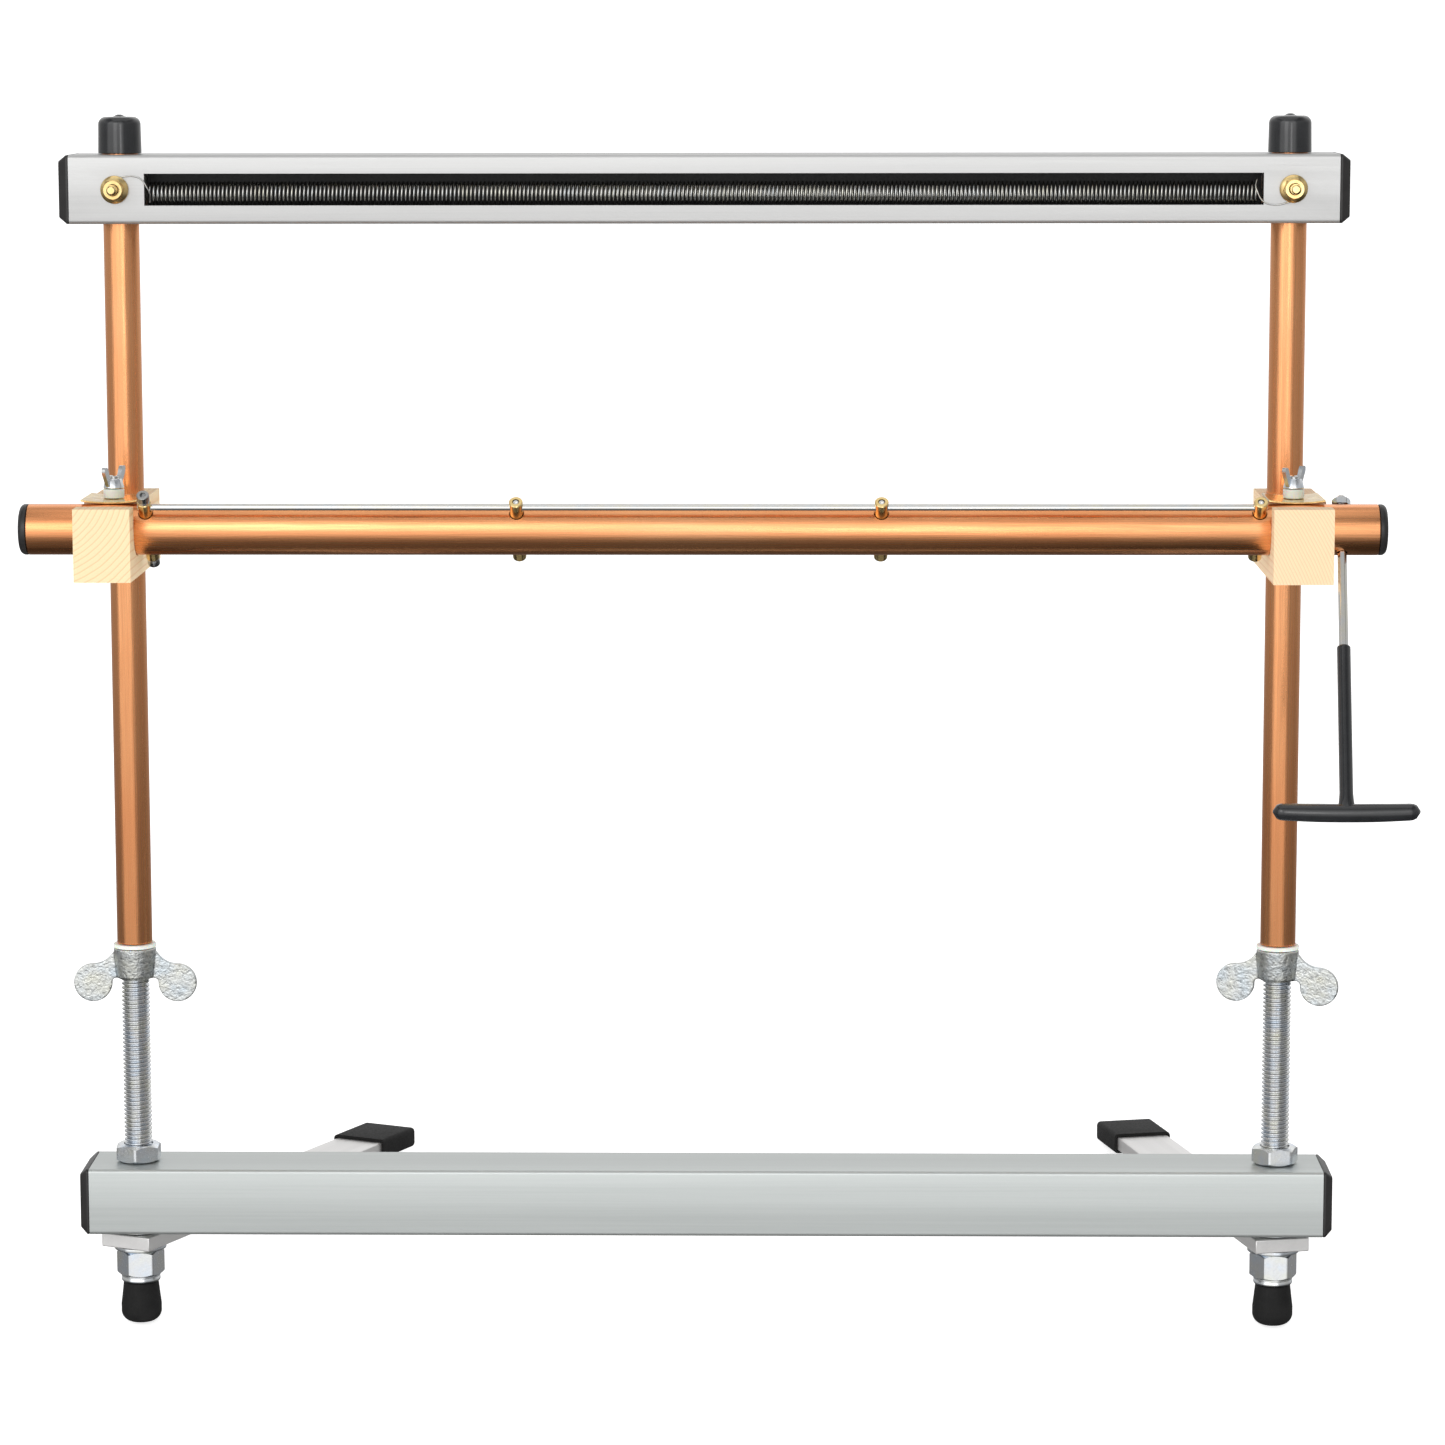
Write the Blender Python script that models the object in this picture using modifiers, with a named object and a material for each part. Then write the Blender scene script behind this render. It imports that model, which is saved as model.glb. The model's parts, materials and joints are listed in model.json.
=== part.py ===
"""Small upright tapestry loom: two aluminium beams, copper uprights and a copper shed shaft.

Everything is drawn in the loom's own upright frame, in metres: X across, Y from front to back
with the uprights at Y = 0, Z up the uprights from the top face of the bottom beam. One empty,
loom_frame, then leans the whole loom back onto its feet and legs.
"""

import math

import bmesh
import bpy
from mathutils import Matrix, Vector

MM = 0.001
GAP = 0.3 * MM                     # clearance between neighbouring solids

# Beams: two equal rectangular tubes.
BEAM_HALF = 279.4 * MM
BEAM_DEPTH = 38.1 * MM
BEAM_HEIGHT = 30.2 * MM
BEAM_WALL = 2.0 * MM
BEAM_CORNER = 1.6 * MM
TOP_BEAM_Z = 456.8 * MM            # top face of the top beam
CAP_HEAD = {"top": 4.4 * MM, "bottom": 4.0 * MM}
CAP_CHAMFER = 2.6 * MM
CAP_PLUG = 9.0 * MM

# Uprights and the threaded rods that carry them.
UPRIGHT_X = 259.0 * MM
UPRIGHT_R = 15.875 / 2 * MM
UPRIGHT_BORE = 6.95 * MM
UPRIGHT_Z0 = 101.5 * MM
UPRIGHT_Z1 = 471.4 * MM
ROD_R = 12.7 / 2 * MM
ROD_Z0 = -66.0 * MM
ROD_Z1 = 250.0 * MM
ROD_HOLE = ROD_R + GAP

# Nuts on the rods.
NUT_AF = 19.05 * MM
JAM_NUT_H = 7.94 * MM
LOCK_NUT_HEX_H = 11.9 * MM
LOCK_NUT_H = 15.1 * MM
LOCK_NUT_COLLAR = 8.9 * MM
WASHER_R = 9.6 * MM
WASHER_T = 1.8 * MM
HUB_TOP_R = 9.6 * MM
HUB_BOTTOM_R = 8.4 * MM
HUB_H = 14.2 * MM
WING_REACH = 27.9 * MM
WING_R = 8.7 * MM
WING_T = 3.2 * MM
WING_DROP = 16.2 * MM              # hub top down to the centre of a wing

# Legs and feet.
LEG_WIDTH = 25.4 * MM
LEG_T = 6.35 * MM
LEG_FRONT = 12.7 * MM
LEG_BACK = 228.6 * MM
LEG_SPLAY = {"left": math.radians(-25.0), "right": math.radians(13.5)}
LEG_CAP_LENGTH = 32.0 * MM
LEG_CAP_WALL = 1.4 * MM
LEG_WASHER_T = 1.6 * MM            # room for a flat washer above and below each leg
FOOT_Z0 = -75.0 * MM
FOOT_FLAT_R = 4.0 * MM

# Warp coil in the slot of the top beam.
SLOT_HALF = 246.0 * MM
SLOT_HEIGHT = 14.0 * MM
COIL_HALF = 244.4 * MM
COIL_R = 5.3 * MM
COIL_WALL = 0.4 * MM
COIL_Y = -12.2 * MM
COIL_DROP = 1.8 * MM                # the coil lies low in its channel
SCREW_R = 2.4 * MM
SCREW_TIP_Y = -31.0 * MM
FLANGE_R = 6.2 * MM
FLANGE_T = 1.3 * MM

# Shed shaft with its posts, heddle rods and handle.
SHAFT_Y = -54.3 * MM
SHAFT_Z = 295.2 * MM
SHAFT_R = 22.225 / 2 * MM
SHAFT_BORE = 10.0 * MM
SHAFT_HALF = 294.2 * MM
SHAFT_CAP_T = 3.4 * MM
POST_X = (-242.0 * MM, -80.4 * MM, 78.2 * MM, 242.2 * MM)
POST_ANGLE = math.radians(45.0)    # above the horizontal, towards the front
POST_R = 3.0 * MM
POST_HALF = 19.0 * MM
HEDDLE_ROD_R = 3.175 / 2 * MM
HEDDLE_ROD_REACH = 15.0 * MM       # from the shaft's axis to the rod's axis
HEDDLE_ROD_HALF = 245.3 * MM
HANDLE_X = 278.6 * MM
HANDLE_ANGLE = math.radians(60.0)  # below the horizontal, towards the front
HANDLE_LEAN = math.radians(-1.4)   # the rod stands a little off square, towards the middle
HANDLE_ROD_AF = 3.6 * MM
HANDLE_REACH = 132.0 * MM
GRIP_START = 55.0 * MM
GRIP_R = 2.95 * MM
CROSSBAR_R = 4.0 * MM
CROSSBAR_HALF = 31.4 * MM

# Wooden clips that ride on the uprights and hold the shaft.
CLIP_WIDTH = {"left": 24.8 * MM, "right": 26.0 * MM}
CLIP_SHIFT = {"left": -0.3 * MM, "right": 1.0 * MM}
CLIP_FRONT = -78.0 * MM
CLIP_BACK = 20.8 * MM
CLIP_TOP = 306.2 * MM
CLIP_HEIGHT = {"left": 31.9 * MM, "right": 32.6 * MM}
CLAMP_Y = -39.0 * MM
CLAMP_BOLT_R = 2.4 * MM
PLATE_SIZE = (24.6 * MM, 34.0 * MM, 0.8 * MM)
PLATE_BOW = 1.0 * MM               # how far the plate's two sides stand above its middle
SPACER_R = 4.6 * MM
SPACER_T = 4.0 * MM
SMALL_HUB_H = 4.2 * MM
BOLT_TIP = 5.6 * MM                # above the seat of the small wing nut

ROUND = 24                         # sides of a large round piece
SMALL_ROUND = 12                   # sides of a screw or a pin
SIDES = {"left": -1, "right": 1}

BEAM_MID_Z = TOP_BEAM_Z - BEAM_HEIGHT / 2
LEG_MID_Z = -BEAM_HEIGHT - 2 * GAP - LEG_WASHER_T - LEG_T / 2
LOCK_NUT_Z = LEG_MID_Z - LEG_T / 2 - 2 * GAP - LEG_WASHER_T
WASHER_Z = UPRIGHT_Z0 - GAP - WASHER_T
HUB_Z = WASHER_Z - GAP
PLATE_Z = CLIP_TOP + GAP
SPACER_Z = PLATE_Z + PLATE_SIZE[2] + GAP
SMALL_NUT_Z = SPACER_Z + SPACER_T + GAP


# ---------------------------------------------------------------- scene and materials

def clear_scene():
    for obj in list(bpy.data.objects):
        bpy.data.objects.remove(obj, do_unlink=True)


def new_collection(name):
    collection = bpy.data.collections.new(name)
    bpy.context.scene.collection.children.link(collection)
    return collection


def material(name, color, roughness, metallic):
    mat = bpy.data.materials.new(name)
    mat.use_nodes = True
    shader = mat.node_tree.nodes["Principled BSDF"]
    shader.inputs["Base Color"].default_value = (*color, 1.0)
    shader.inputs["Roughness"].default_value = roughness
    shader.inputs["Metallic"].default_value = metallic
    return mat


clear_scene()
PARTS = new_collection("loom")
CUTTERS = new_collection("cutters")
LOOKS = {
    "aluminium": ((0.69, 0.70, 0.69), 0.38, 0.9),
    "copper": ((0.72, 0.33, 0.14), 0.28, 1.0),
    "zinc_steel": ((0.62, 0.64, 0.66), 0.30, 1.0),
    "brass": ((0.66, 0.46, 0.16), 0.28, 1.0),
    "spring_steel": ((0.60, 0.60, 0.58), 0.25, 1.0),
    "maple": ((0.80, 0.62, 0.40), 0.60, 0.0),
    "nylon": ((0.86, 0.86, 0.80), 0.45, 0.0),
    "black_vinyl": ((0.015, 0.015, 0.016), 0.25, 0.0),
    "black_rubber": ((0.02, 0.02, 0.02), 0.75, 0.0),
    "black_plastic": ((0.02, 0.02, 0.02), 0.50, 0.0),
}


# ---------------------------------------------------------------- frames and placing

def frame(name, parent, location):
    """An empty at a place in the loom's own frame, for the pieces that move together."""
    empty = bpy.data.objects.new(name, None)
    empty.empty_display_size = 0.02
    PARTS.objects.link(empty)
    empty["place"] = location
    if parent is not None:
        empty.parent = parent
        empty.location = Vector(location) - Vector(parent["place"])
    return empty


def place(obj, parent, location=(0, 0, 0), rotation=(0, 0, 0)):
    """Put an object at a place in the loom's own frame, under the frame it moves with."""
    obj.parent = parent
    obj.location = Vector(location) - Vector(parent["place"])
    obj.rotation_euler = rotation
    return obj


def aim(obj, parent, location, direction):
    """Place an object with its own Z along a direction, by the shortest turn."""
    turn = Vector((0, 0, 1)).rotation_difference(Vector(direction)).to_euler()
    return place(obj, parent, location, turn)


def add_part(name, mesh, look):
    obj = bpy.data.objects.new(name, mesh)
    PARTS.objects.link(obj)
    color, roughness, metallic = LOOKS[look]
    mesh.materials.append(material(name, color, roughness, metallic))
    return obj


def smooth(obj, angle=35.0):
    obj.data.shade_smooth()
    obj.data.set_sharp_from_angle(angle=math.radians(angle))
    return obj


# ---------------------------------------------------------------- shapes

def mesh_from_bmesh(name, bm):
    mesh = bpy.data.meshes.new(name)
    bm.to_mesh(mesh)
    bm.free()
    return mesh


def cylinder_mesh(name, radius, z0, z1, sides):
    bm = bmesh.new()
    middle = Matrix.Translation((0, 0, (z0 + z1) / 2))
    bmesh.ops.create_cone(bm, cap_ends=True, segments=sides, radius1=radius, radius2=radius,
                          depth=z1 - z0, matrix=middle)
    return mesh_from_bmesh(name, bm)


def box_mesh(name, size, center=(0, 0, 0)):
    bm = bmesh.new()
    matrix = Matrix.Translation(center) @ Matrix.Diagonal((*size, 1))
    bmesh.ops.create_cube(bm, size=1.0, matrix=matrix)
    return mesh_from_bmesh(name, bm)


def turned(name, look, profile, sides=ROUND, closed=False):
    """A profile of (radius, height) points turned about Z; it runs down its outer side."""
    mesh = bpy.data.meshes.new(name)
    count = len(profile)
    edges = [(i, i + 1) for i in range(count - 1)]
    if closed:
        edges.append((count - 1, 0))
    mesh.from_pydata([(radius, 0, height) for radius, height in profile], edges, [])
    obj = add_part(name, mesh, look)
    screw = obj.modifiers.new("turn", "SCREW")
    screw.steps = sides
    screw.render_steps = sides
    screw.use_merge_vertices = True
    screw.merge_threshold = 0.01 * MM
    screw.use_smooth_shade = True
    return obj


def ring(name, look, outer, inner, z0, z1, sides=ROUND):
    profile = [(outer, z1), (outer, z0), (inner, z0), (inner, z1)]
    return turned(name, look, profile, sides, closed=True)


def arc(center, radius, start, end, steps):
    """Points on an arc, in degrees, both ends included."""
    points = []
    for i in range(steps + 1):
        angle = math.radians(start + (end - start) * i / steps)
        x = center[0] + radius * math.cos(angle)
        y = center[1] + radius * math.sin(angle)
        points.append((x, y))
    return points


def rounded_rectangle(width, height, radius, steps=3):
    points = []
    corners = ((1, 1, 0), (-1, 1, 90), (-1, -1, 180), (1, -1, 270))
    for sx, sy, start in corners:
        center = (sx * (width / 2 - radius), sy * (height / 2 - radius))
        points += arc(center, radius, start, start + 90, steps)
    return points


def polygon(radius, sides, start=0.0):
    return arc((0, 0), radius, start, start + 360 - 360 / sides, sides - 1)


def plate_mesh(name, outlines, thickness):
    """A flat outline with holes, thickened equally both ways along Z."""
    curve = bpy.data.curves.new(name, "CURVE")
    curve.dimensions = "2D"
    curve.fill_mode = "BOTH"
    curve.extrude = thickness / 2
    for outline in outlines:
        spline = curve.splines.new("POLY")
        spline.points.add(len(outline) - 1)
        for point, (x, y) in zip(spline.points, outline):
            point.co = (x, y, 0, 1)
        spline.use_cyclic_u = True
    guide = bpy.data.objects.new(name + "_outline", curve)
    bpy.context.scene.collection.objects.link(guide)
    graph = bpy.context.evaluated_depsgraph_get()
    mesh = bpy.data.meshes.new_from_object(guide.evaluated_get(graph))
    bpy.data.objects.remove(guide)
    bm = bmesh.new()
    bm.from_mesh(mesh)
    bmesh.ops.remove_doubles(bm, verts=bm.verts, dist=0.001 * MM)
    bmesh.ops.recalc_face_normals(bm, faces=bm.faces)
    bm.to_mesh(mesh)
    bm.free()
    mesh.name = name
    return mesh


def plate(name, look, outlines, thickness):
    return add_part(name, plate_mesh(name, outlines, thickness), look)


def stacked(name, look, sections):
    """A solid lofted through rounded rectangles: (height, width, depth, corner radius)."""
    bm = bmesh.new()
    loops = []
    for height, width, depth, corner in sections:
        outline = rounded_rectangle(width, depth, corner)
        loops.append([bm.verts.new((x, y, height)) for x, y in outline])
    count = len(loops[0])
    for lower, upper in zip(loops, loops[1:]):
        for i in range(count):
            j = (i + 1) % count
            bm.faces.new((lower[i], lower[j], upper[j], upper[i]))
    bm.faces.new(list(reversed(loops[0])))
    bm.faces.new(loops[-1])
    return add_part(name, mesh_from_bmesh(name, bm), look)


def combine(obj, mesh, parent, operation, location=(0, 0, 0), direction=(0, 0, 1)):
    """Cut or join a guide solid, placed in the loom's own frame, with a Boolean."""
    guide = bpy.data.objects.new(obj.name + "_" + operation.lower(), mesh)
    CUTTERS.objects.link(guide)
    guide.hide_render = True
    guide.display_type = "WIRE"
    aim(guide, parent, location, direction)
    step = obj.modifiers.new(operation.lower(), "BOOLEAN")
    step.operation = operation
    step.solver = "EXACT"
    step.object = guide
    return obj


def drill(obj, parent, location, direction, radius, reach, sides=SMALL_ROUND):
    hole = cylinder_mesh(obj.name + "_hole", radius, -reach, reach, sides)
    return combine(obj, hole, parent, "DIFFERENCE", location, direction)


# ---------------------------------------------------------------- frames of the moving bodies

ROOT = frame("loom_frame", None, (0, 0, 0))
UPPER = frame("upper_frame", ROOT, (0, 0, UPRIGHT_Z0))
CARRIAGE = frame("carriage_frame", UPPER, (0, SHAFT_Y, SHAFT_Z))
SHAFT = frame("shaft_frame", CARRIAGE, (0, SHAFT_Y, SHAFT_Z))
POST_DIRECTION = Vector((0, -math.cos(POST_ANGLE), math.sin(POST_ANGLE)))
HANDLE_DIRECTION = Vector((
    math.sin(HANDLE_LEAN),
    -math.cos(HANDLE_LEAN) * math.cos(HANDLE_ANGLE),
    -math.cos(HANDLE_LEAN) * math.sin(HANDLE_ANGLE),
))
HANDLE_ORIGIN = Vector((HANDLE_X, SHAFT_Y, SHAFT_Z))


# ---------------------------------------------------------------- beams

def beam(name, parent, mid_z):
    outer = rounded_rectangle(BEAM_HEIGHT, BEAM_DEPTH, BEAM_CORNER)
    inner = rounded_rectangle(BEAM_HEIGHT - 2 * BEAM_WALL, BEAM_DEPTH - 2 * BEAM_WALL, 0.5 * MM)
    tube = plate(name, "aluminium", [outer, inner], 2 * BEAM_HALF)
    return place(tube, parent, (0, 0, mid_z), (0, math.pi / 2, 0))


def beam_cap(name, parent, side, mid_z, head):
    inside_h = BEAM_HEIGHT - 2 * BEAM_WALL - 2 * GAP
    inside_d = BEAM_DEPTH - 2 * BEAM_WALL - 2 * GAP
    sections = [
        (-CAP_PLUG, inside_h - 1.0 * MM, inside_d - 1.0 * MM, 0.5 * MM),
        (GAP, inside_h, inside_d, 0.5 * MM),
        (GAP, BEAM_HEIGHT, BEAM_DEPTH, BEAM_CORNER),
        (GAP + 0.9 * MM, BEAM_HEIGHT, BEAM_DEPTH, BEAM_CORNER),
        (GAP + head, BEAM_HEIGHT - 2 * CAP_CHAMFER, BEAM_DEPTH - 2 * CAP_CHAMFER, BEAM_CORNER),
    ]
    cap = stacked(name, "black_plastic", sections)
    return place(cap, parent, (side * BEAM_HALF, 0, mid_z), (0, side * math.pi / 2, 0))


def bottom_beam():
    tube = beam("bottom_beam", ROOT, -BEAM_HEIGHT / 2)
    for side in SIDES.values():
        drill(tube, ROOT, (side * UPRIGHT_X, 0, 0), (0, 0, 1), ROD_HOLE, BEAM_DEPTH, ROUND)


def top_beam():
    tube = beam("top_beam", UPPER, BEAM_MID_Z)
    for side in SIDES.values():
        place_on_upright = (side * UPRIGHT_X, 0, BEAM_MID_Z)
        drill(tube, UPPER, place_on_upright, (0, 0, 1), UPRIGHT_R + GAP, BEAM_DEPTH, ROUND)
        drill(tube, UPPER, place_on_upright, (0, 1, 0), SCREW_R + GAP, BEAM_DEPTH)
    slot = box_mesh("slot", (2 * SLOT_HALF, 2 * BEAM_WALL + 2 * MM, SLOT_HEIGHT))
    combine(tube, slot, UPPER, "DIFFERENCE", (0, -BEAM_DEPTH / 2, BEAM_MID_Z))


def coil_and_backing():
    """The warp coil lies in a black channel behind the slot."""
    sheet = 1.2 * MM
    front = -BEAM_DEPTH / 2 + BEAM_WALL + GAP
    back = COIL_Y + COIL_R + 1.6 * MM
    low = -SLOT_HEIGHT / 2 - 1.6 * MM
    outline = [
        (low, front), (low + sheet, front), (low + sheet, back - sheet),
        (-low - sheet, back - sheet), (-low - sheet, front), (-low, front),
        (-low, back), (low, back),
    ]
    channel = plate("coil_backing", "black_plastic", [outline], 2 * SLOT_HALF)
    place(channel, UPPER, (0, 0, BEAM_MID_Z), (0, math.pi / 2, 0))
    coil = ring("warp_coil", "spring_steel", COIL_R, COIL_R - COIL_WALL, -COIL_HALF, COIL_HALF,
                SMALL_ROUND)
    place(coil, UPPER, (0, COIL_Y, BEAM_MID_Z - COIL_DROP), (0, math.pi / 2, 0))


def beam_fasteners(label, side):
    """A screw from the back through beam and upright, with a brass flange nut in front."""
    back = BEAM_DEPTH / 2 + GAP
    profile = [
        (0, back + 2.8 * MM), (3.0 * MM, back + 2.6 * MM), (4.6 * MM, back + 1.6 * MM),
        (4.6 * MM, back), (SCREW_R, back), (SCREW_R, SCREW_TIP_Y + 0.6 * MM),
        (SCREW_R - 0.6 * MM, SCREW_TIP_Y), (0, SCREW_TIP_Y),
    ]
    screw = turned("beam_screw_" + label, "brass", profile, SMALL_ROUND)
    aim(screw, UPPER, (side * UPRIGHT_X, 0, BEAM_MID_Z), (0, 1, 0))
    hexagon = polygon(4.3 * MM / math.cos(math.radians(30)), 6, start=12.0)
    nut = plate("flange_nut_" + label, "brass", [hexagon], 6.6 * MM)
    face = (side * UPRIGHT_X, -BEAM_DEPTH / 2 - GAP, BEAM_MID_Z)
    middle = (face[0], face[1] - 3.3 * MM, face[2])
    aim(nut, UPPER, middle, (0, -1, 0))
    flange = cylinder_mesh("flange", FLANGE_R, 0, FLANGE_T, 24)
    combine(nut, flange, UPPER, "UNION", face, (0, -1, 0))
    drill(nut, UPPER, middle, (0, 1, 0), SCREW_R + GAP, 10 * MM)


# ---------------------------------------------------------------- uprights, rods and nuts

def upright(label, side):
    tube = ring("upright_" + label, "copper", UPRIGHT_R, UPRIGHT_BORE, UPRIGHT_Z0, UPRIGHT_Z1)
    place(tube, UPPER, (side * UPRIGHT_X, 0, 0))
    drill(tube, UPPER, (side * UPRIGHT_X, 0, BEAM_MID_Z), (0, 1, 0), SCREW_R + GAP, 20 * MM)


def upright_cap(label, side):
    outer = 9.6 * MM
    top = UPRIGHT_Z1 + GAP + 1.6 * MM
    inner = UPRIGHT_R + GAP
    edge = 3.0 * MM
    shoulder = [(x, z) for x, z in arc((outer - edge, top - edge), edge, 90, 0, 4)]
    profile = [(0, top + 1.1 * MM), (1.8 * MM, top + 1.0 * MM), (2.4 * MM, top)] + shoulder
    profile += [
        (outer, TOP_BEAM_Z + GAP), (inner, TOP_BEAM_Z + GAP), (inner, UPRIGHT_Z1 + GAP),
        (0, UPRIGHT_Z1 + GAP),
    ]
    cap = turned("upright_cap_" + label, "black_vinyl", profile, ROUND)
    place(cap, UPPER, (side * UPRIGHT_X, 0, 0))


def threaded_rod(label, side):
    mesh = cylinder_mesh("threaded_rod_" + label, ROD_R, ROD_Z0, ROD_Z1, ROUND)
    rod = smooth(add_part("threaded_rod_" + label, mesh, "zinc_steel"))
    place(rod, ROOT, (side * UPRIGHT_X, 0, 0))


def hexagon_nut(name, parent, place_at, height, turn):
    """A hexagon nut with its lower face at the given place; turn is one corner's bearing."""
    hexagon = polygon(NUT_AF / 2 / math.cos(math.radians(30)), 6, start=turn)
    hole = polygon(ROD_HOLE, 24)
    nut = plate(name, "zinc_steel", [hexagon, hole], height)
    x, y, z = place_at
    return place(nut, parent, (x, y, z + height / 2))


def lock_nut(label, side, turn):
    """Hexagon above, round collar with its plastic insert below."""
    low = LOCK_NUT_Z - LOCK_NUT_H
    top = LOCK_NUT_Z
    seat = (side * UPRIGHT_X, 0, top - LOCK_NUT_HEX_H)
    nut = hexagon_nut("lock_nut_" + label, ROOT, seat, LOCK_NUT_HEX_H, turn)
    collar = cylinder_mesh("collar", LOCK_NUT_COLLAR, low, low + 5 * MM, 24)
    combine(nut, collar, ROOT, "UNION", (side * UPRIGHT_X, 0, 0))
    drill(nut, ROOT, (side * UPRIGHT_X, 0, low), (0, 0, 1), ROD_HOLE, 30 * MM, 24)


def foot(label, side):
    """Rubber foot with a blind pocket for the end of the rod."""
    top = LOCK_NUT_Z - LOCK_NUT_H - GAP
    pocket = ROD_Z0 - GAP
    dome = arc((FOOT_FLAT_R, FOOT_Z0 + 5.2 * MM), 5.2 * MM, 0, -90, 4)
    profile = [(0, pocket), (ROD_HOLE, pocket), (ROD_HOLE, top), (8.0 * MM, top)]
    profile += [(9.2 * MM, FOOT_Z0 + 9.5 * MM)] + dome + [(0, FOOT_Z0)]
    pad = turned("foot_" + label, "black_rubber", profile, 24)
    place(pad, ROOT, (side * UPRIGHT_X, 0, 0))


def nylon_washer(label, side):
    washer = ring("nylon_washer_" + label, "nylon", WASHER_R, ROD_HOLE, WASHER_Z,
                  WASHER_Z + WASHER_T)
    place(washer, UPPER, (side * UPRIGHT_X, 0, 0))


def wing_outline(reach, radius, drop, height, root):
    """One drooping wing in its own plane: a round lobe on a neck that meets the hub."""
    center = (reach - radius, -drop)
    neck_r = 10.7 * MM
    neck_top = [(root, -1.0 * MM)]
    neck_top += arc((center[0], -drop + radius + neck_r), neck_r, 211, 268, 6)
    lobe = arc(center, radius, 90, -175, 14)
    neck_low = arc((8.5 * MM, -height - 1.9 * MM), 2.1 * MM, 0, 120, 4)
    neck_low += [(root, -height + 1.2 * MM)]
    return neck_top + lobe + neck_low


def height_wing_nut(label, side, turn):
    """Cast wing nut, hub up and wings hanging, under the upright it lifts."""
    axis = (side * UPRIGHT_X, 0, HUB_Z)
    holder = frame("wing_frame_" + label, UPPER, axis)
    holder.rotation_euler = (0, 0, turn)
    profile = [
        (HUB_TOP_R, 0), (HUB_BOTTOM_R, -HUB_H + 1.0 * MM), (HUB_BOTTOM_R - 1.0 * MM, -HUB_H),
        (ROD_HOLE, -HUB_H), (ROD_HOLE, 0),
    ]
    nut = turned("height_wing_nut_" + label, "zinc_steel", profile, ROUND, closed=True)
    place(nut, holder, axis)
    outline = wing_outline(WING_REACH, WING_R, WING_DROP, HUB_H, ROD_HOLE + 0.5 * MM)
    for name, flip in (("wing_a", 1), ("wing_b", -1)):
        points = [(flip * x, y) for x, y in outline]
        wing = plate_mesh(name, [points], WING_T)
        wing.transform(Matrix.Rotation(math.pi / 2, 4, "X"))
        combine(nut, wing, holder, "UNION", axis)


# ---------------------------------------------------------------- legs

def leg(label, side):
    pivot = (side * UPRIGHT_X, 0, LEG_MID_Z)
    holder = frame("leg_frame_" + label, ROOT, pivot)
    holder.rotation_euler = (0, 0, LEG_SPLAY[label])
    length = LEG_FRONT + LEG_BACK
    middle = (LEG_BACK - LEG_FRONT) / 2
    outline = [(x, y + middle) for x, y in rounded_rectangle(LEG_WIDTH, length, 1.5 * MM, 2)]
    bar = plate("leg_" + label, "aluminium", [outline, polygon(ROD_HOLE, 24)], LEG_T)
    place(bar, holder, pivot)
    width = LEG_WIDTH + 2 * GAP + 2 * LEG_CAP_WALL
    depth = LEG_T + 2 * GAP + 2 * LEG_CAP_WALL
    end = LEG_BACK + GAP + LEG_CAP_WALL
    sections = [
        (end - LEG_CAP_LENGTH, width, depth, 2.0 * MM),
        (end - 1.2 * MM, width, depth, 2.0 * MM),
        (end, width - 2.4 * MM, depth - 2.4 * MM, 1.2 * MM),
    ]
    cap = stacked("leg_cap_" + label, "black_rubber", sections)
    place(cap, holder, pivot, (-math.pi / 2, 0, 0))
    pocket = box_mesh("pocket", (LEG_WIDTH + 2 * GAP, length, LEG_T + 2 * GAP),
                      (0, LEG_BACK + GAP - length / 2, 0))
    combine(cap, pocket, holder, "DIFFERENCE", pivot)


# ---------------------------------------------------------------- shed shaft

def shed_shaft():
    axis = (0, SHAFT_Y, SHAFT_Z)
    tube = ring("shed_shaft", "copper", SHAFT_R, SHAFT_BORE, -SHAFT_HALF, SHAFT_HALF)
    place(tube, SHAFT, axis, (0, math.pi / 2, 0))
    for x in POST_X:
        drill(tube, SHAFT, (x, SHAFT_Y, SHAFT_Z), POST_DIRECTION, POST_R + GAP, 20 * MM)
    handle_hole = HANDLE_ROD_AF / 2 / math.cos(math.radians(30)) + GAP
    drill(tube, SHAFT, HANDLE_ORIGIN, HANDLE_DIRECTION, handle_hole, 20 * MM)


def shaft_cap(label, side):
    edge = 2.2 * MM
    profile = [(0, SHAFT_CAP_T + GAP)]
    profile += arc((SHAFT_R - edge, SHAFT_CAP_T + GAP - edge), edge, 90, 0, 4)
    profile += [(SHAFT_R, GAP), (SHAFT_BORE - GAP, GAP), (SHAFT_BORE - 0.7 * MM, -8 * MM)]
    profile += [(0, -8 * MM)]
    cap = turned("shaft_cap_" + label, "black_plastic", profile, ROUND)
    aim(cap, SHAFT, (side * SHAFT_HALF, SHAFT_Y, SHAFT_Z), (side, 0, 0))


def on_post(x, distance):
    return Vector((x, SHAFT_Y, SHAFT_Z)) + POST_DIRECTION * distance


def heddle_post(number, x):
    name = "heddle_post_%d" % number
    mesh = cylinder_mesh(name, POST_R, -POST_HALF, POST_HALF, SMALL_ROUND)
    post = smooth(add_part(name, mesh, "brass"))
    aim(post, SHAFT, on_post(x, 0), POST_DIRECTION)
    for end in (1, -1):
        crossing = on_post(x, end * HEDDLE_ROD_REACH)
        drill(post, SHAFT, crossing, (1, 0, 0), HEDDLE_ROD_R + GAP, 8 * MM, 12)
        tip = on_post(x, end * POST_HALF)
        drill(post, SHAFT, tip, POST_DIRECTION, 1.5 * MM, POST_HALF - HEDDLE_ROD_REACH, 12)


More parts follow.
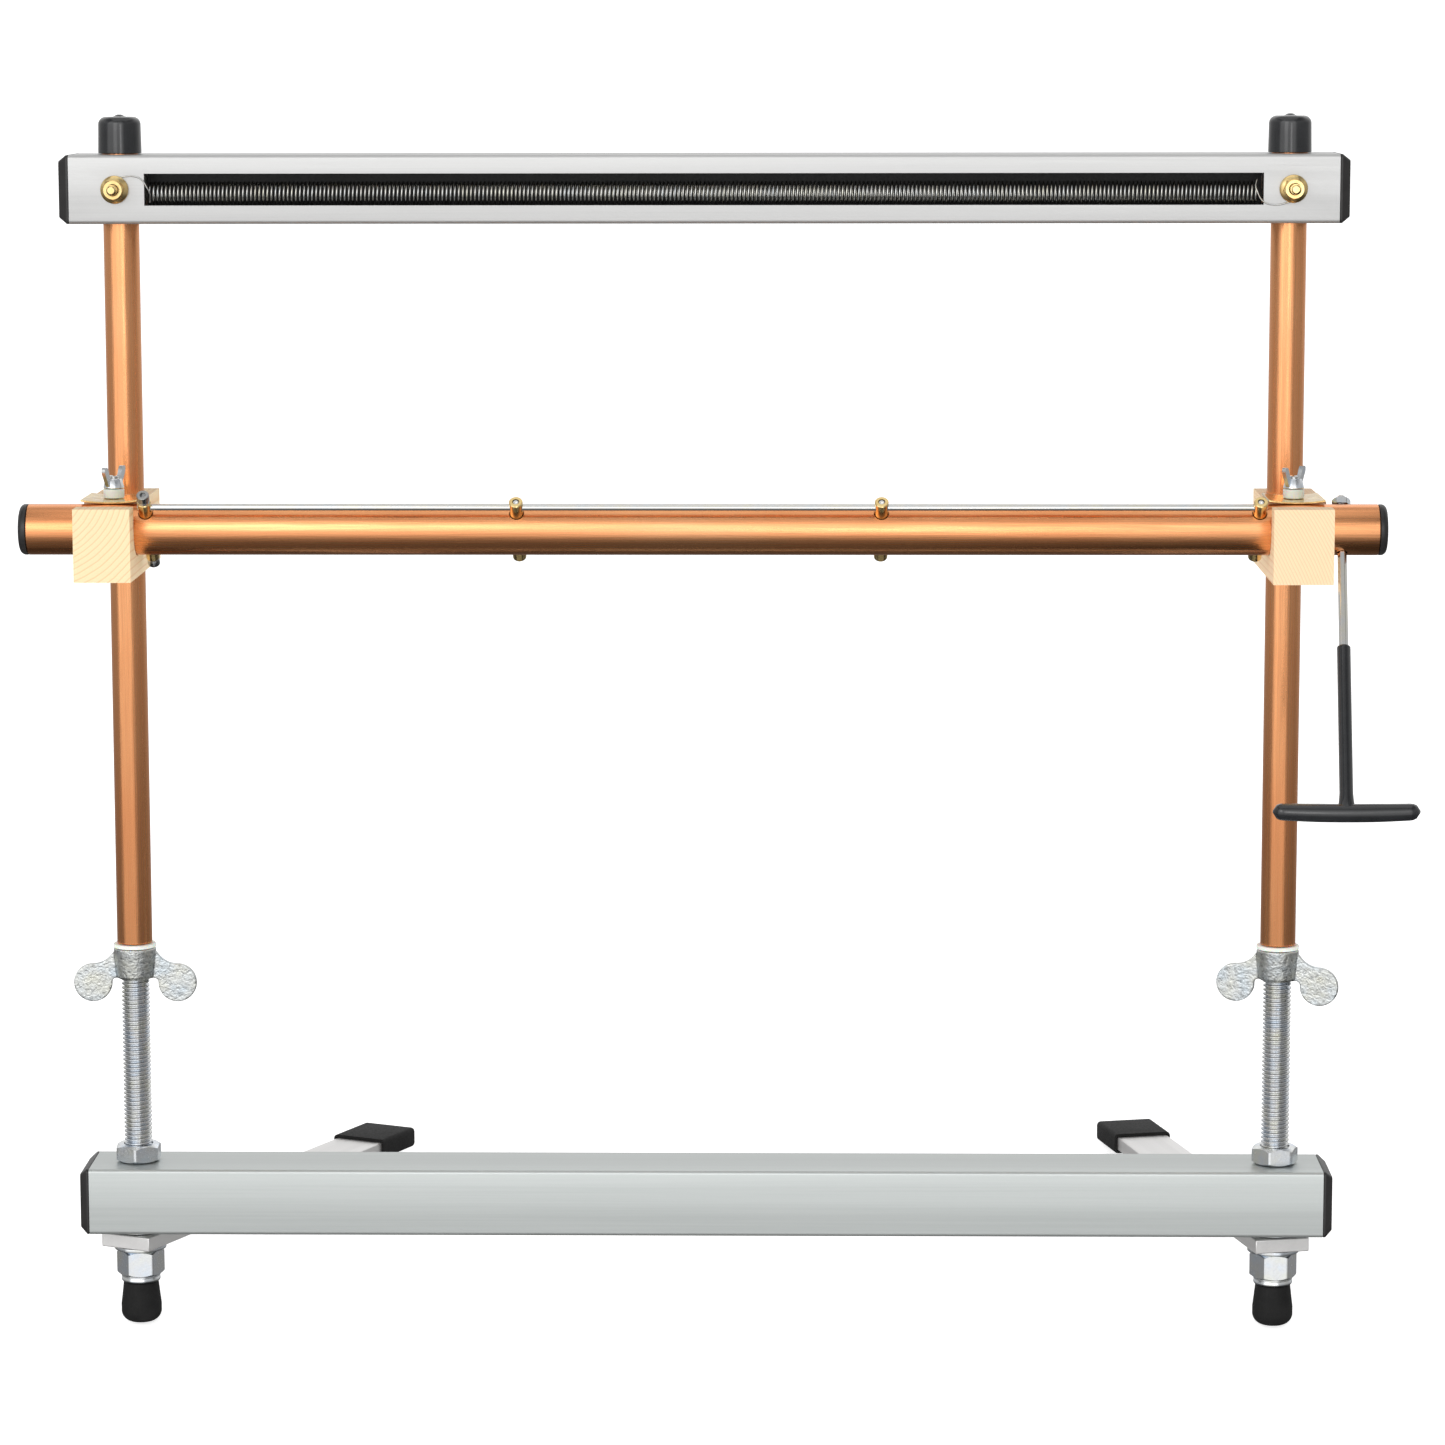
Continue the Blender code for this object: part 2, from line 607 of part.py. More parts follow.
def post_screw(label, end):
    """A cap screw in one end of the left post; its point holds the heddle rod."""
    seat = POST_HALF + GAP
    profile = [
        (0, seat + 2.2 * MM), (1.1 * MM, seat + 2.2 * MM), (1.1 * MM, seat + 4.3 * MM),
        (2.7 * MM, seat + 4.3 * MM), (2.7 * MM, seat), (1.2 * MM, seat),
    ]
    profile += [(1.2 * MM, HEDDLE_ROD_REACH + HEDDLE_ROD_R + GAP)]
    profile += [(0, HEDDLE_ROD_REACH + HEDDLE_ROD_R + GAP)]
    screw = turned("post_screw_" + label, "zinc_steel", profile, SMALL_ROUND)
    aim(screw, SHAFT, on_post(POST_X[0], 0), POST_DIRECTION * end)


def set_screw(number, x):
    low = HEDDLE_ROD_REACH + HEDDLE_ROD_R + GAP
    high = POST_HALF - 0.3 * MM
    name = "set_screw_%d" % number
    screw = smooth(add_part(name, cylinder_mesh(name, 1.2 * MM, low, high, 12), "zinc_steel"))
    aim(screw, SHAFT, on_post(x, 0), POST_DIRECTION)


def heddle_rod(name, end):
    mesh = cylinder_mesh(name, HEDDLE_ROD_R, -HEDDLE_ROD_HALF, HEDDLE_ROD_HALF, SMALL_ROUND)
    rod = smooth(add_part(name, mesh, "zinc_steel"))
    place(rod, SHAFT, on_post(0, end * HEDDLE_ROD_REACH), (0, math.pi / 2, 0))


def handle():
    corner = HANDLE_ROD_AF / 2 / math.cos(math.radians(30))
    rod_end = HANDLE_REACH - CROSSBAR_R - 2 * MM
    rod = add_part("handle_rod", cylinder_mesh("handle_rod", corner, -16.0 * MM, rod_end, 6),
                   "zinc_steel")
    aim(rod, SHAFT, HANDLE_ORIGIN, HANDLE_DIRECTION)
    sleeve = cylinder_mesh("handle_grip", GRIP_R, GRIP_START, HANDLE_REACH, SMALL_ROUND)
    grip = smooth(add_part("handle_grip", sleeve, "black_vinyl"))
    aim(grip, SHAFT, HANDLE_ORIGIN, HANDLE_DIRECTION)
    bar = cylinder_mesh("crossbar", CROSSBAR_R, -CROSSBAR_HALF, CROSSBAR_HALF, SMALL_ROUND)
    combine(grip, bar, SHAFT, "UNION", HANDLE_ORIGIN + HANDLE_DIRECTION * HANDLE_REACH, (1, 0, 0))
    core = cylinder_mesh("core", corner + GAP, 0, rod_end + GAP, 12)
    combine(grip, core, SHAFT, "DIFFERENCE", HANDLE_ORIGIN, HANDLE_DIRECTION)
    nut_seat = SHAFT_R + GAP
    hexagon = polygon(3.6 * MM / math.cos(math.radians(30)), 6)
    hole = polygon(corner + GAP, 12)
    nut = plate("handle_nut", "zinc_steel", [hexagon, hole], 3.0 * MM)
    middle = HANDLE_ORIGIN - HANDLE_DIRECTION * (nut_seat + 1.5 * MM)
    aim(nut, SHAFT, middle, HANDLE_DIRECTION)


# ---------------------------------------------------------------- clips and clamps

def clip(label, side):
    """Maple block: a bore for the upright behind, an open trough for the shaft in front."""
    height = CLIP_HEIGHT[label]
    size = (CLIP_WIDTH[label], CLIP_BACK - CLIP_FRONT, height)
    block = add_part("clip_" + label, box_mesh("clip_" + label, size), "maple")
    x = side * UPRIGHT_X
    middle = (x + CLIP_SHIFT[label], (CLIP_FRONT + CLIP_BACK) / 2, CLIP_TOP - height / 2)
    place(block, CARRIAGE, middle)
    edges = block.modifiers.new("edges", "BEVEL")
    edges.width = 1.2 * MM
    edges.segments = 2
    trough_r = SHAFT_R + GAP
    reach = CLIP_WIDTH[label]
    drill(block, CARRIAGE, (x, SHAFT_Y, SHAFT_Z), (1, 0, 0), trough_r, reach, ROUND)
    mouth = box_mesh("mouth", (2 * reach, 2 * trough_r, 2 * trough_r), (0, 0, trough_r))
    combine(block, mouth, CARRIAGE, "DIFFERENCE", (x, SHAFT_Y, SHAFT_Z))
    drill(block, CARRIAGE, (x, 0, CLIP_TOP), (0, 0, 1), UPRIGHT_R + GAP, 60 * MM, ROUND)
    drill(block, CARRIAGE, (x, CLAMP_Y, CLIP_TOP), (0, 0, 1), CLAMP_BOLT_R + GAP, 60 * MM)


def clamp(label, side, turn):
    """Bolt up through the clip, brass plate over clip and shaft, spacer and wing nut."""
    axis = (side * UPRIGHT_X, CLAMP_Y, CLIP_TOP)
    low = CLIP_TOP - CLIP_HEIGHT[label] - GAP
    high = SMALL_NUT_Z + BOLT_TIP
    profile = [
        (0, high), (1.8 * MM, high), (CLAMP_BOLT_R, high - 0.6 * MM), (CLAMP_BOLT_R, low),
        (5.6 * MM, low), (5.0 * MM, low - 1.4 * MM), (3.0 * MM, low - 2.3 * MM),
        (0, low - 2.5 * MM),
    ]
    bolt = turned("clamp_bolt_" + label, "zinc_steel", profile, SMALL_ROUND)
    place(bolt, CARRIAGE, (axis[0], CLAMP_Y, 0))
    clamp_plate(label, axis)
    spacer = ring("clamp_spacer_" + label, "nylon", SPACER_R, CLAMP_BOLT_R + GAP, SPACER_Z,
                  SPACER_Z + SPACER_T, 24)
    place(spacer, CARRIAGE, (axis[0], CLAMP_Y, 0))
    small_wing_nut(label, axis, turn)


def clamp_plate(label, axis):
    """Brass strap over clip and shaft, bowed so that its two sides stand up a little."""
    width, depth, sheet = PLATE_SIZE
    steps = 8
    lower = []
    for i in range(steps + 1):
        t = -1 + 2 * i / steps
        lower.append((t * width / 2, PLATE_BOW * t * t))
    upper = [(x, z + sheet) for x, z in reversed(lower)]
    strap = plate("clamp_plate_" + label, "brass", [lower + upper], depth)
    swivel = frame("plate_frame_" + label, CARRIAGE, axis)
    place(strap, swivel, (axis[0], CLAMP_Y, PLATE_Z), (math.pi / 2, 0, 0))
    drill(strap, swivel, axis, (0, 0, 1), CLAMP_BOLT_R + GAP, 10 * MM)


def small_wing_nut(label, axis, turn):
    holder = frame("clamp_nut_frame_" + label, CARRIAGE, (axis[0], axis[1], SMALL_NUT_Z))
    holder.rotation_euler = (0, 0, turn)
    seat = (axis[0], axis[1], SMALL_NUT_Z)
    bore = CLAMP_BOLT_R + GAP
    profile = [(3.7 * MM, SMALL_HUB_H), (4.6 * MM, 0), (bore, 0), (bore, SMALL_HUB_H)]
    nut = turned("clamp_wing_nut_" + label, "zinc_steel", profile, 24, closed=True)
    place(nut, holder, seat)
    for name, flip in (("wing_a", 1), ("wing_b", -1)):
        outline = [
            (bore + 0.2 * MM, 0.4 * MM), (4.8 * MM, 0.8 * MM), (6.2 * MM, 3.2 * MM),
            (7.8 * MM, 6.4 * MM), (8.2 * MM, 8.4 * MM), (7.6 * MM, 9.4 * MM), (6.6 * MM, 9.5 * MM),
            (5.7 * MM, 8.8 * MM), (4.6 * MM, 6.0 * MM), (bore + 0.8 * MM, SMALL_HUB_H - 0.3 * MM),
            (bore + 0.2 * MM, SMALL_HUB_H - 0.5 * MM),
        ]
        wing = plate_mesh(name, [[(flip * x, y) for x, y in outline]], 2.0 * MM)
        wing.transform(Matrix.Rotation(math.pi / 2, 4, "X"))
        combine(nut, wing, holder, "UNION", seat)


# ---------------------------------------------------------------- standing on the floor

def lean_angle():
    """Lean at which the right leg's cap and the feet touch the floor together."""
    splay = LEG_SPLAY["right"]
    half_width = LEG_WIDTH / 2 + GAP + LEG_CAP_WALL - 1.2 * MM
    reach = LEG_BACK + GAP + LEG_CAP_WALL - 1.2 * MM
    cap_y = reach * math.cos(splay) + half_width * math.sin(splay)
    cap_z = LEG_MID_Z - LEG_T / 2 - GAP - LEG_CAP_WALL
    return math.atan2(cap_z - FOOT_Z0, cap_y - FOOT_FLAT_R)


def stand_on_floor():
    """Lean the loom back and put the middle of its footprint box at the origin."""
    ROOT.rotation_euler = (-lean_angle(), 0, 0)
    bpy.context.view_layer.update()
    graph = bpy.context.evaluated_depsgraph_get()
    points = []
    for obj in PARTS.objects:
        if obj.type == "MESH":
            solid = obj.evaluated_get(graph)
            points += [solid.matrix_world @ vertex.co for vertex in solid.data.vertices]
    low = [min(point[axis] for point in points) for axis in range(3)]
    high = [max(point[axis] for point in points) for axis in range(3)]
    ROOT.location = (-(low[0] + high[0]) / 2, -(low[1] + high[1]) / 2, -low[2])
    bpy.context.view_layer.update()


def main():
    jam_turn = {"left": -90.0, "right": -50.0}
    lock_turn = {"left": -53.0, "right": -57.0}
    wing_turn = {"left": 0.0, "right": math.radians(-17.0)}
    small_turn = {"left": math.radians(65.0), "right": math.radians(52.0)}
    bottom_beam()
    top_beam()
    coil_and_backing()
    for label, side in SIDES.items():
        beam_cap("bottom_beam_cap_" + label, ROOT, side, -BEAM_HEIGHT / 2, CAP_HEAD["bottom"])
        beam_cap("top_beam_cap_" + label, UPPER, side, BEAM_MID_Z, CAP_HEAD["top"])
        beam_fasteners(label, side)
        upright(label, side)
        upright_cap(label, side)
        threaded_rod(label, side)
        jam_seat = (side * UPRIGHT_X, 0, GAP)
        hexagon_nut("jam_nut_" + label, ROOT, jam_seat, JAM_NUT_H, jam_turn[label])
        lock_nut(label, side, lock_turn[label])
        foot(label, side)
        nylon_washer(label, side)
        height_wing_nut(label, side, wing_turn[label])
        leg(label, side)
        shaft_cap(label, side)
        clip(label, side)
        clamp(label, side, small_turn[label])
    shed_shaft()
    for number, x in enumerate(POST_X, 1):
        heddle_post(number, x)
    for number, x in enumerate(POST_X[1:], 2):
        set_screw(number, x)
    post_screw("upper", 1)
    post_screw("lower", -1)
    heddle_rod("heddle_rod_front", 1)
    heddle_rod("heddle_rod_back", -1)
    handle()
    stand_on_floor()


main()
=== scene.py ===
"""Looks of the tapestry loom: detailed pieces, procedural materials, studio and camera.

All pieces are drawn in the loom's own upright frame, in metres: X across, Y from front to back with
the uprights at Y = 0, Z up the uprights from the top face of the bottom beam. LOOM carries that frame
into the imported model's frame, where the loom leans back on its legs.
"""

import json
import math

import bmesh
import bpy
from mathutils import Euler, Matrix, Vector

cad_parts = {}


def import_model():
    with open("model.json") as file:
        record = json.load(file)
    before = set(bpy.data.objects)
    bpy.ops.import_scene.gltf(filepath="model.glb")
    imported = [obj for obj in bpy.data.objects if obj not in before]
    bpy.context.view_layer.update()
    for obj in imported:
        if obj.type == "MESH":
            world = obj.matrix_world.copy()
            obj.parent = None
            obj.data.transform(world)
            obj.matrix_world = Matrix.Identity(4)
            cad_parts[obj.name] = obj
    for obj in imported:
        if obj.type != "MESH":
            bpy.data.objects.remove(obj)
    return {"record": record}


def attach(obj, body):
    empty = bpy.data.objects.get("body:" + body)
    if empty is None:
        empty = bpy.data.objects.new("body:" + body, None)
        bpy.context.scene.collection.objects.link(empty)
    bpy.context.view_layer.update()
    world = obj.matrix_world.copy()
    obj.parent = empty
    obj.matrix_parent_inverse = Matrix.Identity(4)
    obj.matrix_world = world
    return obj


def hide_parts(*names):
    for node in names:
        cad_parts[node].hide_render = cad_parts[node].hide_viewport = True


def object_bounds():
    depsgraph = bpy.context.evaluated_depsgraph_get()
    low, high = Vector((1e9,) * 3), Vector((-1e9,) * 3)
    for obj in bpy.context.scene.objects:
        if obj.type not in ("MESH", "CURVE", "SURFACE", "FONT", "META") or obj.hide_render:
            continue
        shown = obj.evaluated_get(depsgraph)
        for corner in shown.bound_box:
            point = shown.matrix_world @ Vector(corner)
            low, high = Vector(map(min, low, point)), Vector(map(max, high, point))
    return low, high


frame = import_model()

MM = 0.001
CAD_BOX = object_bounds()

GAP = 0.3 * MM
BEAM_HALF = 279.4 * MM
BEAM_DEPTH = 38.1 * MM
BEAM_HEIGHT = 30.2 * MM
BEAM_WALL = 2.0 * MM
BEAM_CORNER = 1.6 * MM
TOP_BEAM_Z = 456.8 * MM
BEAM_MID_Z = TOP_BEAM_Z - BEAM_HEIGHT / 2
CAP_HEAD = {"top": 4.4 * MM, "bottom": 4.0 * MM}
CAP_CHAMFER = 2.6 * MM
CAP_PLUG = 9.0 * MM
SLOT_HALF = 246.0 * MM
SLOT_HEIGHT = 14.0 * MM

UPRIGHT_X = 259.0 * MM
UPRIGHT_R = 15.875 / 2 * MM
UPRIGHT_BORE = 6.95 * MM
UPRIGHT_Z0 = 101.5 * MM
UPRIGHT_Z1 = 471.4 * MM
ROD_R = 12.7 / 2 * MM
ROD_Z0 = -66.0 * MM
ROD_Z1 = 250.0 * MM
ROD_HOLE = ROD_R + GAP
ROD_PITCH = 25.4 / 13 * MM
THREAD_DEPTH = 1.15 * MM

NUT_AF = 19.05 * MM
JAM_NUT_H = 7.94 * MM
LOCK_NUT_HEX_H = 11.9 * MM
LOCK_NUT_H = 15.1 * MM
LOCK_NUT_COLLAR = 8.9 * MM
WASHER_R = 9.6 * MM
WASHER_T = 1.8 * MM
WASHER_Z = UPRIGHT_Z0 - GAP - WASHER_T
HUB_Z = WASHER_Z - GAP
HUB_TOP_R = 9.6 * MM
HUB_BOTTOM_R = 8.4 * MM
HUB_H = 14.2 * MM
WING_REACH = 27.9 * MM
WING_R = 8.7 * MM
WING_T = 3.2 * MM
WING_DROP = 16.2 * MM

LEG_WIDTH = 25.4 * MM
LEG_T = 6.35 * MM
LEG_FRONT = 12.7 * MM
LEG_BACK = 228.6 * MM
LEG_CAP_LENGTH = 32.0 * MM
LEG_CAP_WALL = 1.4 * MM
LEG_WASHER_R = 11.8 * MM
LEG_WASHER_T = 1.6 * MM
LEG_MID_Z = -BEAM_HEIGHT - 2 * GAP - LEG_WASHER_T - LEG_T / 2
LOCK_NUT_Z = LEG_MID_Z - LEG_T / 2 - 2 * GAP - LEG_WASHER_T
FOOT_Z0 = -75.0 * MM
FOOT_FLAT_R = 4.0 * MM

COIL_HALF = 244.4 * MM
COIL_R = 5.3 * MM
COIL_Y = -12.2 * MM
COIL_DROP = 1.8 * MM
COIL_PITCH = 1.796 * MM
COIL_WIRE_R = 0.42 * MM
SCREW_R = 2.4 * MM
SCREW_TIP_Y = -31.0 * MM
FLANGE_R = 6.2 * MM

SHAFT_Y = -54.3 * MM
SHAFT_Z = 295.2 * MM
SHAFT_R = 22.225 / 2 * MM
SHAFT_BORE = 10.0 * MM
SHAFT_HALF = 294.2 * MM
SHAFT_CAP_T = 3.4 * MM
POST_X = (-242.0 * MM, -80.4 * MM, 78.2 * MM, 242.2 * MM)
POST_ANGLE = math.radians(45.0)
POST_R = 3.0 * MM
POST_HALF = 19.0 * MM
HEDDLE_ROD_R = 3.175 / 2 * MM
HEDDLE_ROD_REACH = 15.0 * MM
HEDDLE_ROD_HALF = 245.3 * MM
HANDLE_X = 278.6 * MM
HANDLE_ANGLE = math.radians(60.0)
HANDLE_LEAN = math.radians(-1.4)
HANDLE_ROD_AF = 3.6 * MM
HANDLE_REACH = 132.0 * MM
GRIP_START = 55.0 * MM
GRIP_R = 2.95 * MM
CROSSBAR_R = 4.0 * MM
CROSSBAR_HALF = 31.4 * MM
CROSSBAR_DROOP = 0.7 * MM

CLIP_WIDTH = {"left": 24.8 * MM, "right": 26.0 * MM}
CLIP_SHIFT = {"left": -0.3 * MM, "right": 1.0 * MM}
CLIP_FRONT = -78.0 * MM
CLIP_BACK = 20.8 * MM
CLIP_TOP = 306.2 * MM
CLIP_HEIGHT = {"left": 31.9 * MM, "right": 32.6 * MM}
CLAMP_Y = -39.0 * MM
CLAMP_BOLT_R = 2.4 * MM
PLATE_SIZE = (24.6 * MM, 34.0 * MM, 0.8 * MM)
PLATE_BOW = 1.0 * MM
PLATE_Z = CLIP_TOP + GAP
SPACER_R = 4.6 * MM
SPACER_T = 4.0 * MM
SPACER_Z = PLATE_Z + PLATE_SIZE[2] + GAP
SMALL_NUT_Z = SPACER_Z + SPACER_T + GAP
SMALL_HUB_H = 4.2 * MM
BOLT_TIP = 5.6 * MM

SIDES = {"left": -1, "right": 1}

# Studio and camera, in the loom's own frame.
FRAME_PX = 1445
FOCAL_PX = 4827.6
SENSOR = 36.0
CAMERA_PLACE = (0.04417, -2.15085, 0.51073)
CAMERA_TURN = (-0.964, 8.158, 0.08)       # yaw, pitch and roll in degrees
ROOM_STRENGTH = 2.0
FLOOR_GLOW = 0.72
FLOOR_HALF = 4.0
LEG_SPLAY = {"left": math.radians(-25.0), "right": math.radians(13.5)}
JAM_TURN = {"left": -90.0, "right": -50.0}
LOCK_TURN = {"left": -53.0, "right": -57.0}
WING_TURN = {"left": 0.0, "right": math.radians(-17.0)}
SMALL_TURN = {"left": math.radians(65.0), "right": math.radians(52.0)}

POST_DIRECTION = Vector((0, -math.cos(POST_ANGLE), math.sin(POST_ANGLE)))
HANDLE_DIRECTION = Vector((
    math.sin(HANDLE_LEAN),
    -math.cos(HANDLE_LEAN) * math.cos(HANDLE_ANGLE),
    -math.cos(HANDLE_LEAN) * math.sin(HANDLE_ANGLE),
))
HANDLE_ORIGIN = Vector((HANDLE_X, SHAFT_Y, SHAFT_Z))


# The loom's own frame

def loom_matrix():
    """The loom's upright frame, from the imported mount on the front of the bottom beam."""
    mounts = {mount["name"]: mount for mount in frame["record"]["mounts"]}
    front = mounts["bottom_beam_front"]
    y_axis = -Vector(front["axis"]).normalized()
    x_axis = Vector((1, 0, 0))
    z_axis = x_axis.cross(y_axis).normalized()
    origin = Vector(front["pos_m"]) + y_axis * BEAM_DEPTH / 2 + z_axis * BEAM_HEIGHT / 2
    turn = Matrix((x_axis, y_axis, z_axis)).transposed().to_4x4()
    return Matrix.Translation(origin) @ turn


LOOM = loom_matrix()


def at(x, y, z, rotation=(0, 0, 0)):
    return LOOM @ Matrix.Translation((x, y, z)) @ Euler(rotation).to_matrix().to_4x4()


def turn_to(direction):
    """The shortest turn that takes Z to a direction."""
    return Vector((0, 0, 1)).rotation_difference(Vector(direction)).to_matrix().to_4x4()


def aimed(location, direction):
    """A frame at a place with its own Z along a direction."""
    return LOOM @ Matrix.Translation(Vector(location)) @ turn_to(direction)


# Making pieces

PIECES = []

def finish_piece(name, bm, matrix, material, body, slot, replaced=(), angle=30.0):
    """Turn a bmesh into a piece that rides on a body and stands for its CAD nodes."""
    bmesh.ops.recalc_face_normals(bm, faces=bm.faces)
    mesh = bpy.data.meshes.new(name)
    bm.to_mesh(mesh)
    bm.free()
    mesh.shade_smooth()
    mesh.set_sharp_from_angle(angle=math.radians(angle))
    obj = bpy.data.objects.new(name, mesh)
    bpy.context.scene.collection.objects.link(obj)
    obj.matrix_world = matrix
    mesh.materials.append(material)
    PIECES.append((obj, body, slot, replaced))
    return obj


def mount_pieces():
    """Give every piece its body and hide the CAD nodes that it stands for.

    Pieces whose material has no direction get their turn baked in, so that their boxes are tight.
    """
    for obj, body, slot, replaced in PIECES:
        if slot not in ("copper", "aluminium", "maple", "brass"):
            obj.data.transform(obj.matrix_world)
            obj.matrix_world = Matrix.Identity(4)
        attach(obj, body)
        if replaced:
            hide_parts(*replaced)


def arc(center, radius, start, end, steps):
    points = []
    for i in range(steps + 1):
        angle = math.radians(start + (end - start) * i / steps)
        x = center[0] + radius * math.cos(angle)
        y = center[1] + radius * math.sin(angle)
        points.append((x, y))
    return points


def rounded_rectangle(width, height, radius, steps=5):
    points = []
    corners = ((1, 1, 0), (-1, 1, 90), (-1, -1, 180), (1, -1, 270))
    for sx, sy, start in corners:
        center = (sx * (width / 2 - radius), sy * (height / 2 - radius))
        points += arc(center, radius, start, start + 90, steps)
    return points


def loft(bm, rings, closed=False, caps=True):
    """Skin equal rings of points; closed joins the last ring to the first."""
    loops = [[bm.verts.new(point) for point in ring] for ring in rings]
    count = len(loops[0])
    pairs = list(zip(loops, loops[1:]))
    if closed:
        pairs.append((loops[-1], loops[0]))
    for lower, upper in pairs:
        for i in range(count):
            j = (i + 1) % count
            bm.faces.new((lower[i], lower[j], upper[j], upper[i]))
    if caps and not closed:
        bm.faces.new(list(reversed(loops[0])))
        bm.faces.new(loops[-1])
    return loops


def turned(bm, profile, sides=96, closed=False):
    """Turn (radius, height) points about Z. Points at radius 0 close the ends."""
    poles = {}
    rings = []
    for index, (radius, height) in enumerate(profile):
        if radius < 1e-7:
            poles[index] = bm.verts.new((0, 0, height))
            rings.append(None)
            continue
        ring = []
        for i in range(sides):
            angle = 2 * math.pi * i / sides
            ring.append(bm.verts.new((radius * math.cos(angle), radius * math.sin(angle), height)))
        rings.append(ring)
    count = len(profile)
    for index in range(count if closed else count - 1):
        following = (index + 1) % count
        a, b = rings[index], rings[following]
        for i in range(sides):
            j = (i + 1) % sides
            if a and b:
                bm.faces.new((a[i], a[j], b[j], b[i]))
            elif b:
                bm.faces.new((poles[index], b[j], b[i]))
            elif a:
                bm.faces.new((a[i], a[j], poles[following]))


def rounded_tube_profile(outer, inner, low, high, edge):
    """Closed profile of a tube with small rounded rims."""
    points = arc((outer - edge, high - edge), edge, 90, 0, 3)
    points += arc((outer - edge, low + edge), edge, 0, -90, 3)
    points += arc((inner + edge, low + edge), edge, -90, -180, 3)
    points += arc((inner + edge, high - edge), edge, 180, 90, 3)
    return points


def new_turned(name, profile, matrix, material, body, slot, replaced=(), sides=96,
               closed=False, angle=30.0):
    bm = bmesh.new()
    turned(bm, profile, sides, closed)
    return finish_piece(name, bm, matrix, material, body, slot, replaced, angle)


def cut(obj, cutters, operation="DIFFERENCE"):
    """Cut or join solids, given as bmeshes in the piece's own frame, and keep the result."""
    for solid in cutters:
        bmesh.ops.recalc_face_normals(solid, faces=solid.faces)
        mesh = bpy.data.meshes.new("cutter")
        solid.to_mesh(mesh)
        solid.free()
        guide = bpy.data.objects.new("cutter", mesh)
        bpy.context.scene.collection.objects.link(guide)
        guide.matrix_world = obj.matrix_world
        step = obj.modifiers.new("cut", "BOOLEAN")
        step.operation = operation
        step.solver = "EXACT"
        step.object = guide
        bpy.context.view_layer.update()
        graph = bpy.context.evaluated_depsgraph_get()
        result = bpy.data.meshes.new_from_object(obj.evaluated_get(graph))
        obj.modifiers.clear()
        old = obj.data
        obj.data = result
        result.name = old.name
        bpy.data.meshes.remove(old)
        bpy.data.objects.remove(guide)
    return obj


def resmooth(obj, angle=30.0):
    obj.data.shade_smooth()
    obj.data.set_sharp_from_angle(angle=math.radians(angle))
    return obj


def soften(obj, width, segments=2, angle=35.0):
    """Small rounded edges on a piece whose edges are sharper than the angle."""
    bevel = obj.modifiers.new("edges", "BEVEL")
    bevel.width = width
    bevel.segments = segments
    bevel.limit_method = "ANGLE"
    bevel.angle_limit = math.radians(angle)
    bevel.harden_normals = False
    return obj


def cylinder(radius, low, high, sides=48, axis="Z", center=(0, 0, 0)):
    bm = bmesh.new()
    turned(bm, [(0, high), (radius, high), (radius, low), (0, low)], sides)
    if axis != "Z":
        spin = Matrix.Rotation(math.pi / 2, 4, "Y" if axis == "X" else "X")
        bm.transform(spin)
    bm.transform(Matrix.Translation(center))
    return bm


def box(size, center=(0, 0, 0)):
    bm = bmesh.new()
    bmesh.ops.create_cube(bm, size=1.0,
                          matrix=Matrix.Translation(center) @ Matrix.Diagonal((*size, 1)))
    return bm


def threaded(bm, radius, depth, pitch, low, high, columns=40):
    """A right-hand thread: rounded crests and roots, cut square at both ends."""
    shape = (1.0, 0.95, 0.62, 0.14, 0.0, 0.14, 0.62, 0.95)
    rows_per_turn = len(shape)
    turns = int(math.ceil((high - low) / pitch)) + 2
    start = low - 1.5 * pitch
    rows = turns * rows_per_turn
    grid = []
    for j in range(columns):
        angle = 2 * math.pi * j / columns
        column = []
        for m in range(rows + rows_per_turn):
            r = radius - depth * (1 - shape[m % rows_per_turn])
            z = start + pitch * (m / rows_per_turn + j / columns)
            column.append(bm.verts.new((r * math.cos(angle), r * math.sin(angle), z)))
        grid.append(column)
    for j in range(columns):
        shift = 0 if j < columns - 1 else rows_per_turn
        right = grid[(j + 1) % columns]
        for m in range(rows - 1):
            bm.faces.new((grid[j][m], right[m + shift], right[m + shift + 1], grid[j][m + 1]))
    for height, up in ((high, 1), (low, -1)):
        parts = bm.verts[:] + bm.edges[:] + bm.faces[:]
        bmesh.ops.bisect_plane(bm, geom=parts, plane_co=(0, 0, height), plane_no=(0, 0, up),
                               clear_outer=True)
    loose = [vert for vert in bm.verts if not vert.link_faces]
    bmesh.ops.delete(bm, geom=loose, context="VERTS")
    rims = [edge for edge in bm.edges if edge.is_boundary]
    bmesh.ops.holes_fill(bm, edges=rims, sides=0)


def swept(bm, points, radius, sides=8, tip=True):
    """A round wire along points, with its own turning frame, closed at both ends."""
    tangents = []
    for i in range(len(points)):
        ahead = points[min(i + 1, len(points) - 1)]
        behind = points[max(i - 1, 0)]
        tangents.append((ahead - behind).normalized())
    side = tangents[0].orthogonal().normalized()
    rings = []
    for i, point in enumerate(points):
        if i:
            turn = tangents[i - 1].rotation_difference(tangents[i])
            side = (turn @ side).normalized()
        over = tangents[i].cross(side).normalized()
        ring = []
        for k in range(sides):
            angle = 2 * math.pi * k / sides
            ring.append(point + (side * math.cos(angle) + over * math.sin(angle)) * radius)
        rings.append(ring)
    loft(bm, rings, caps=tip)


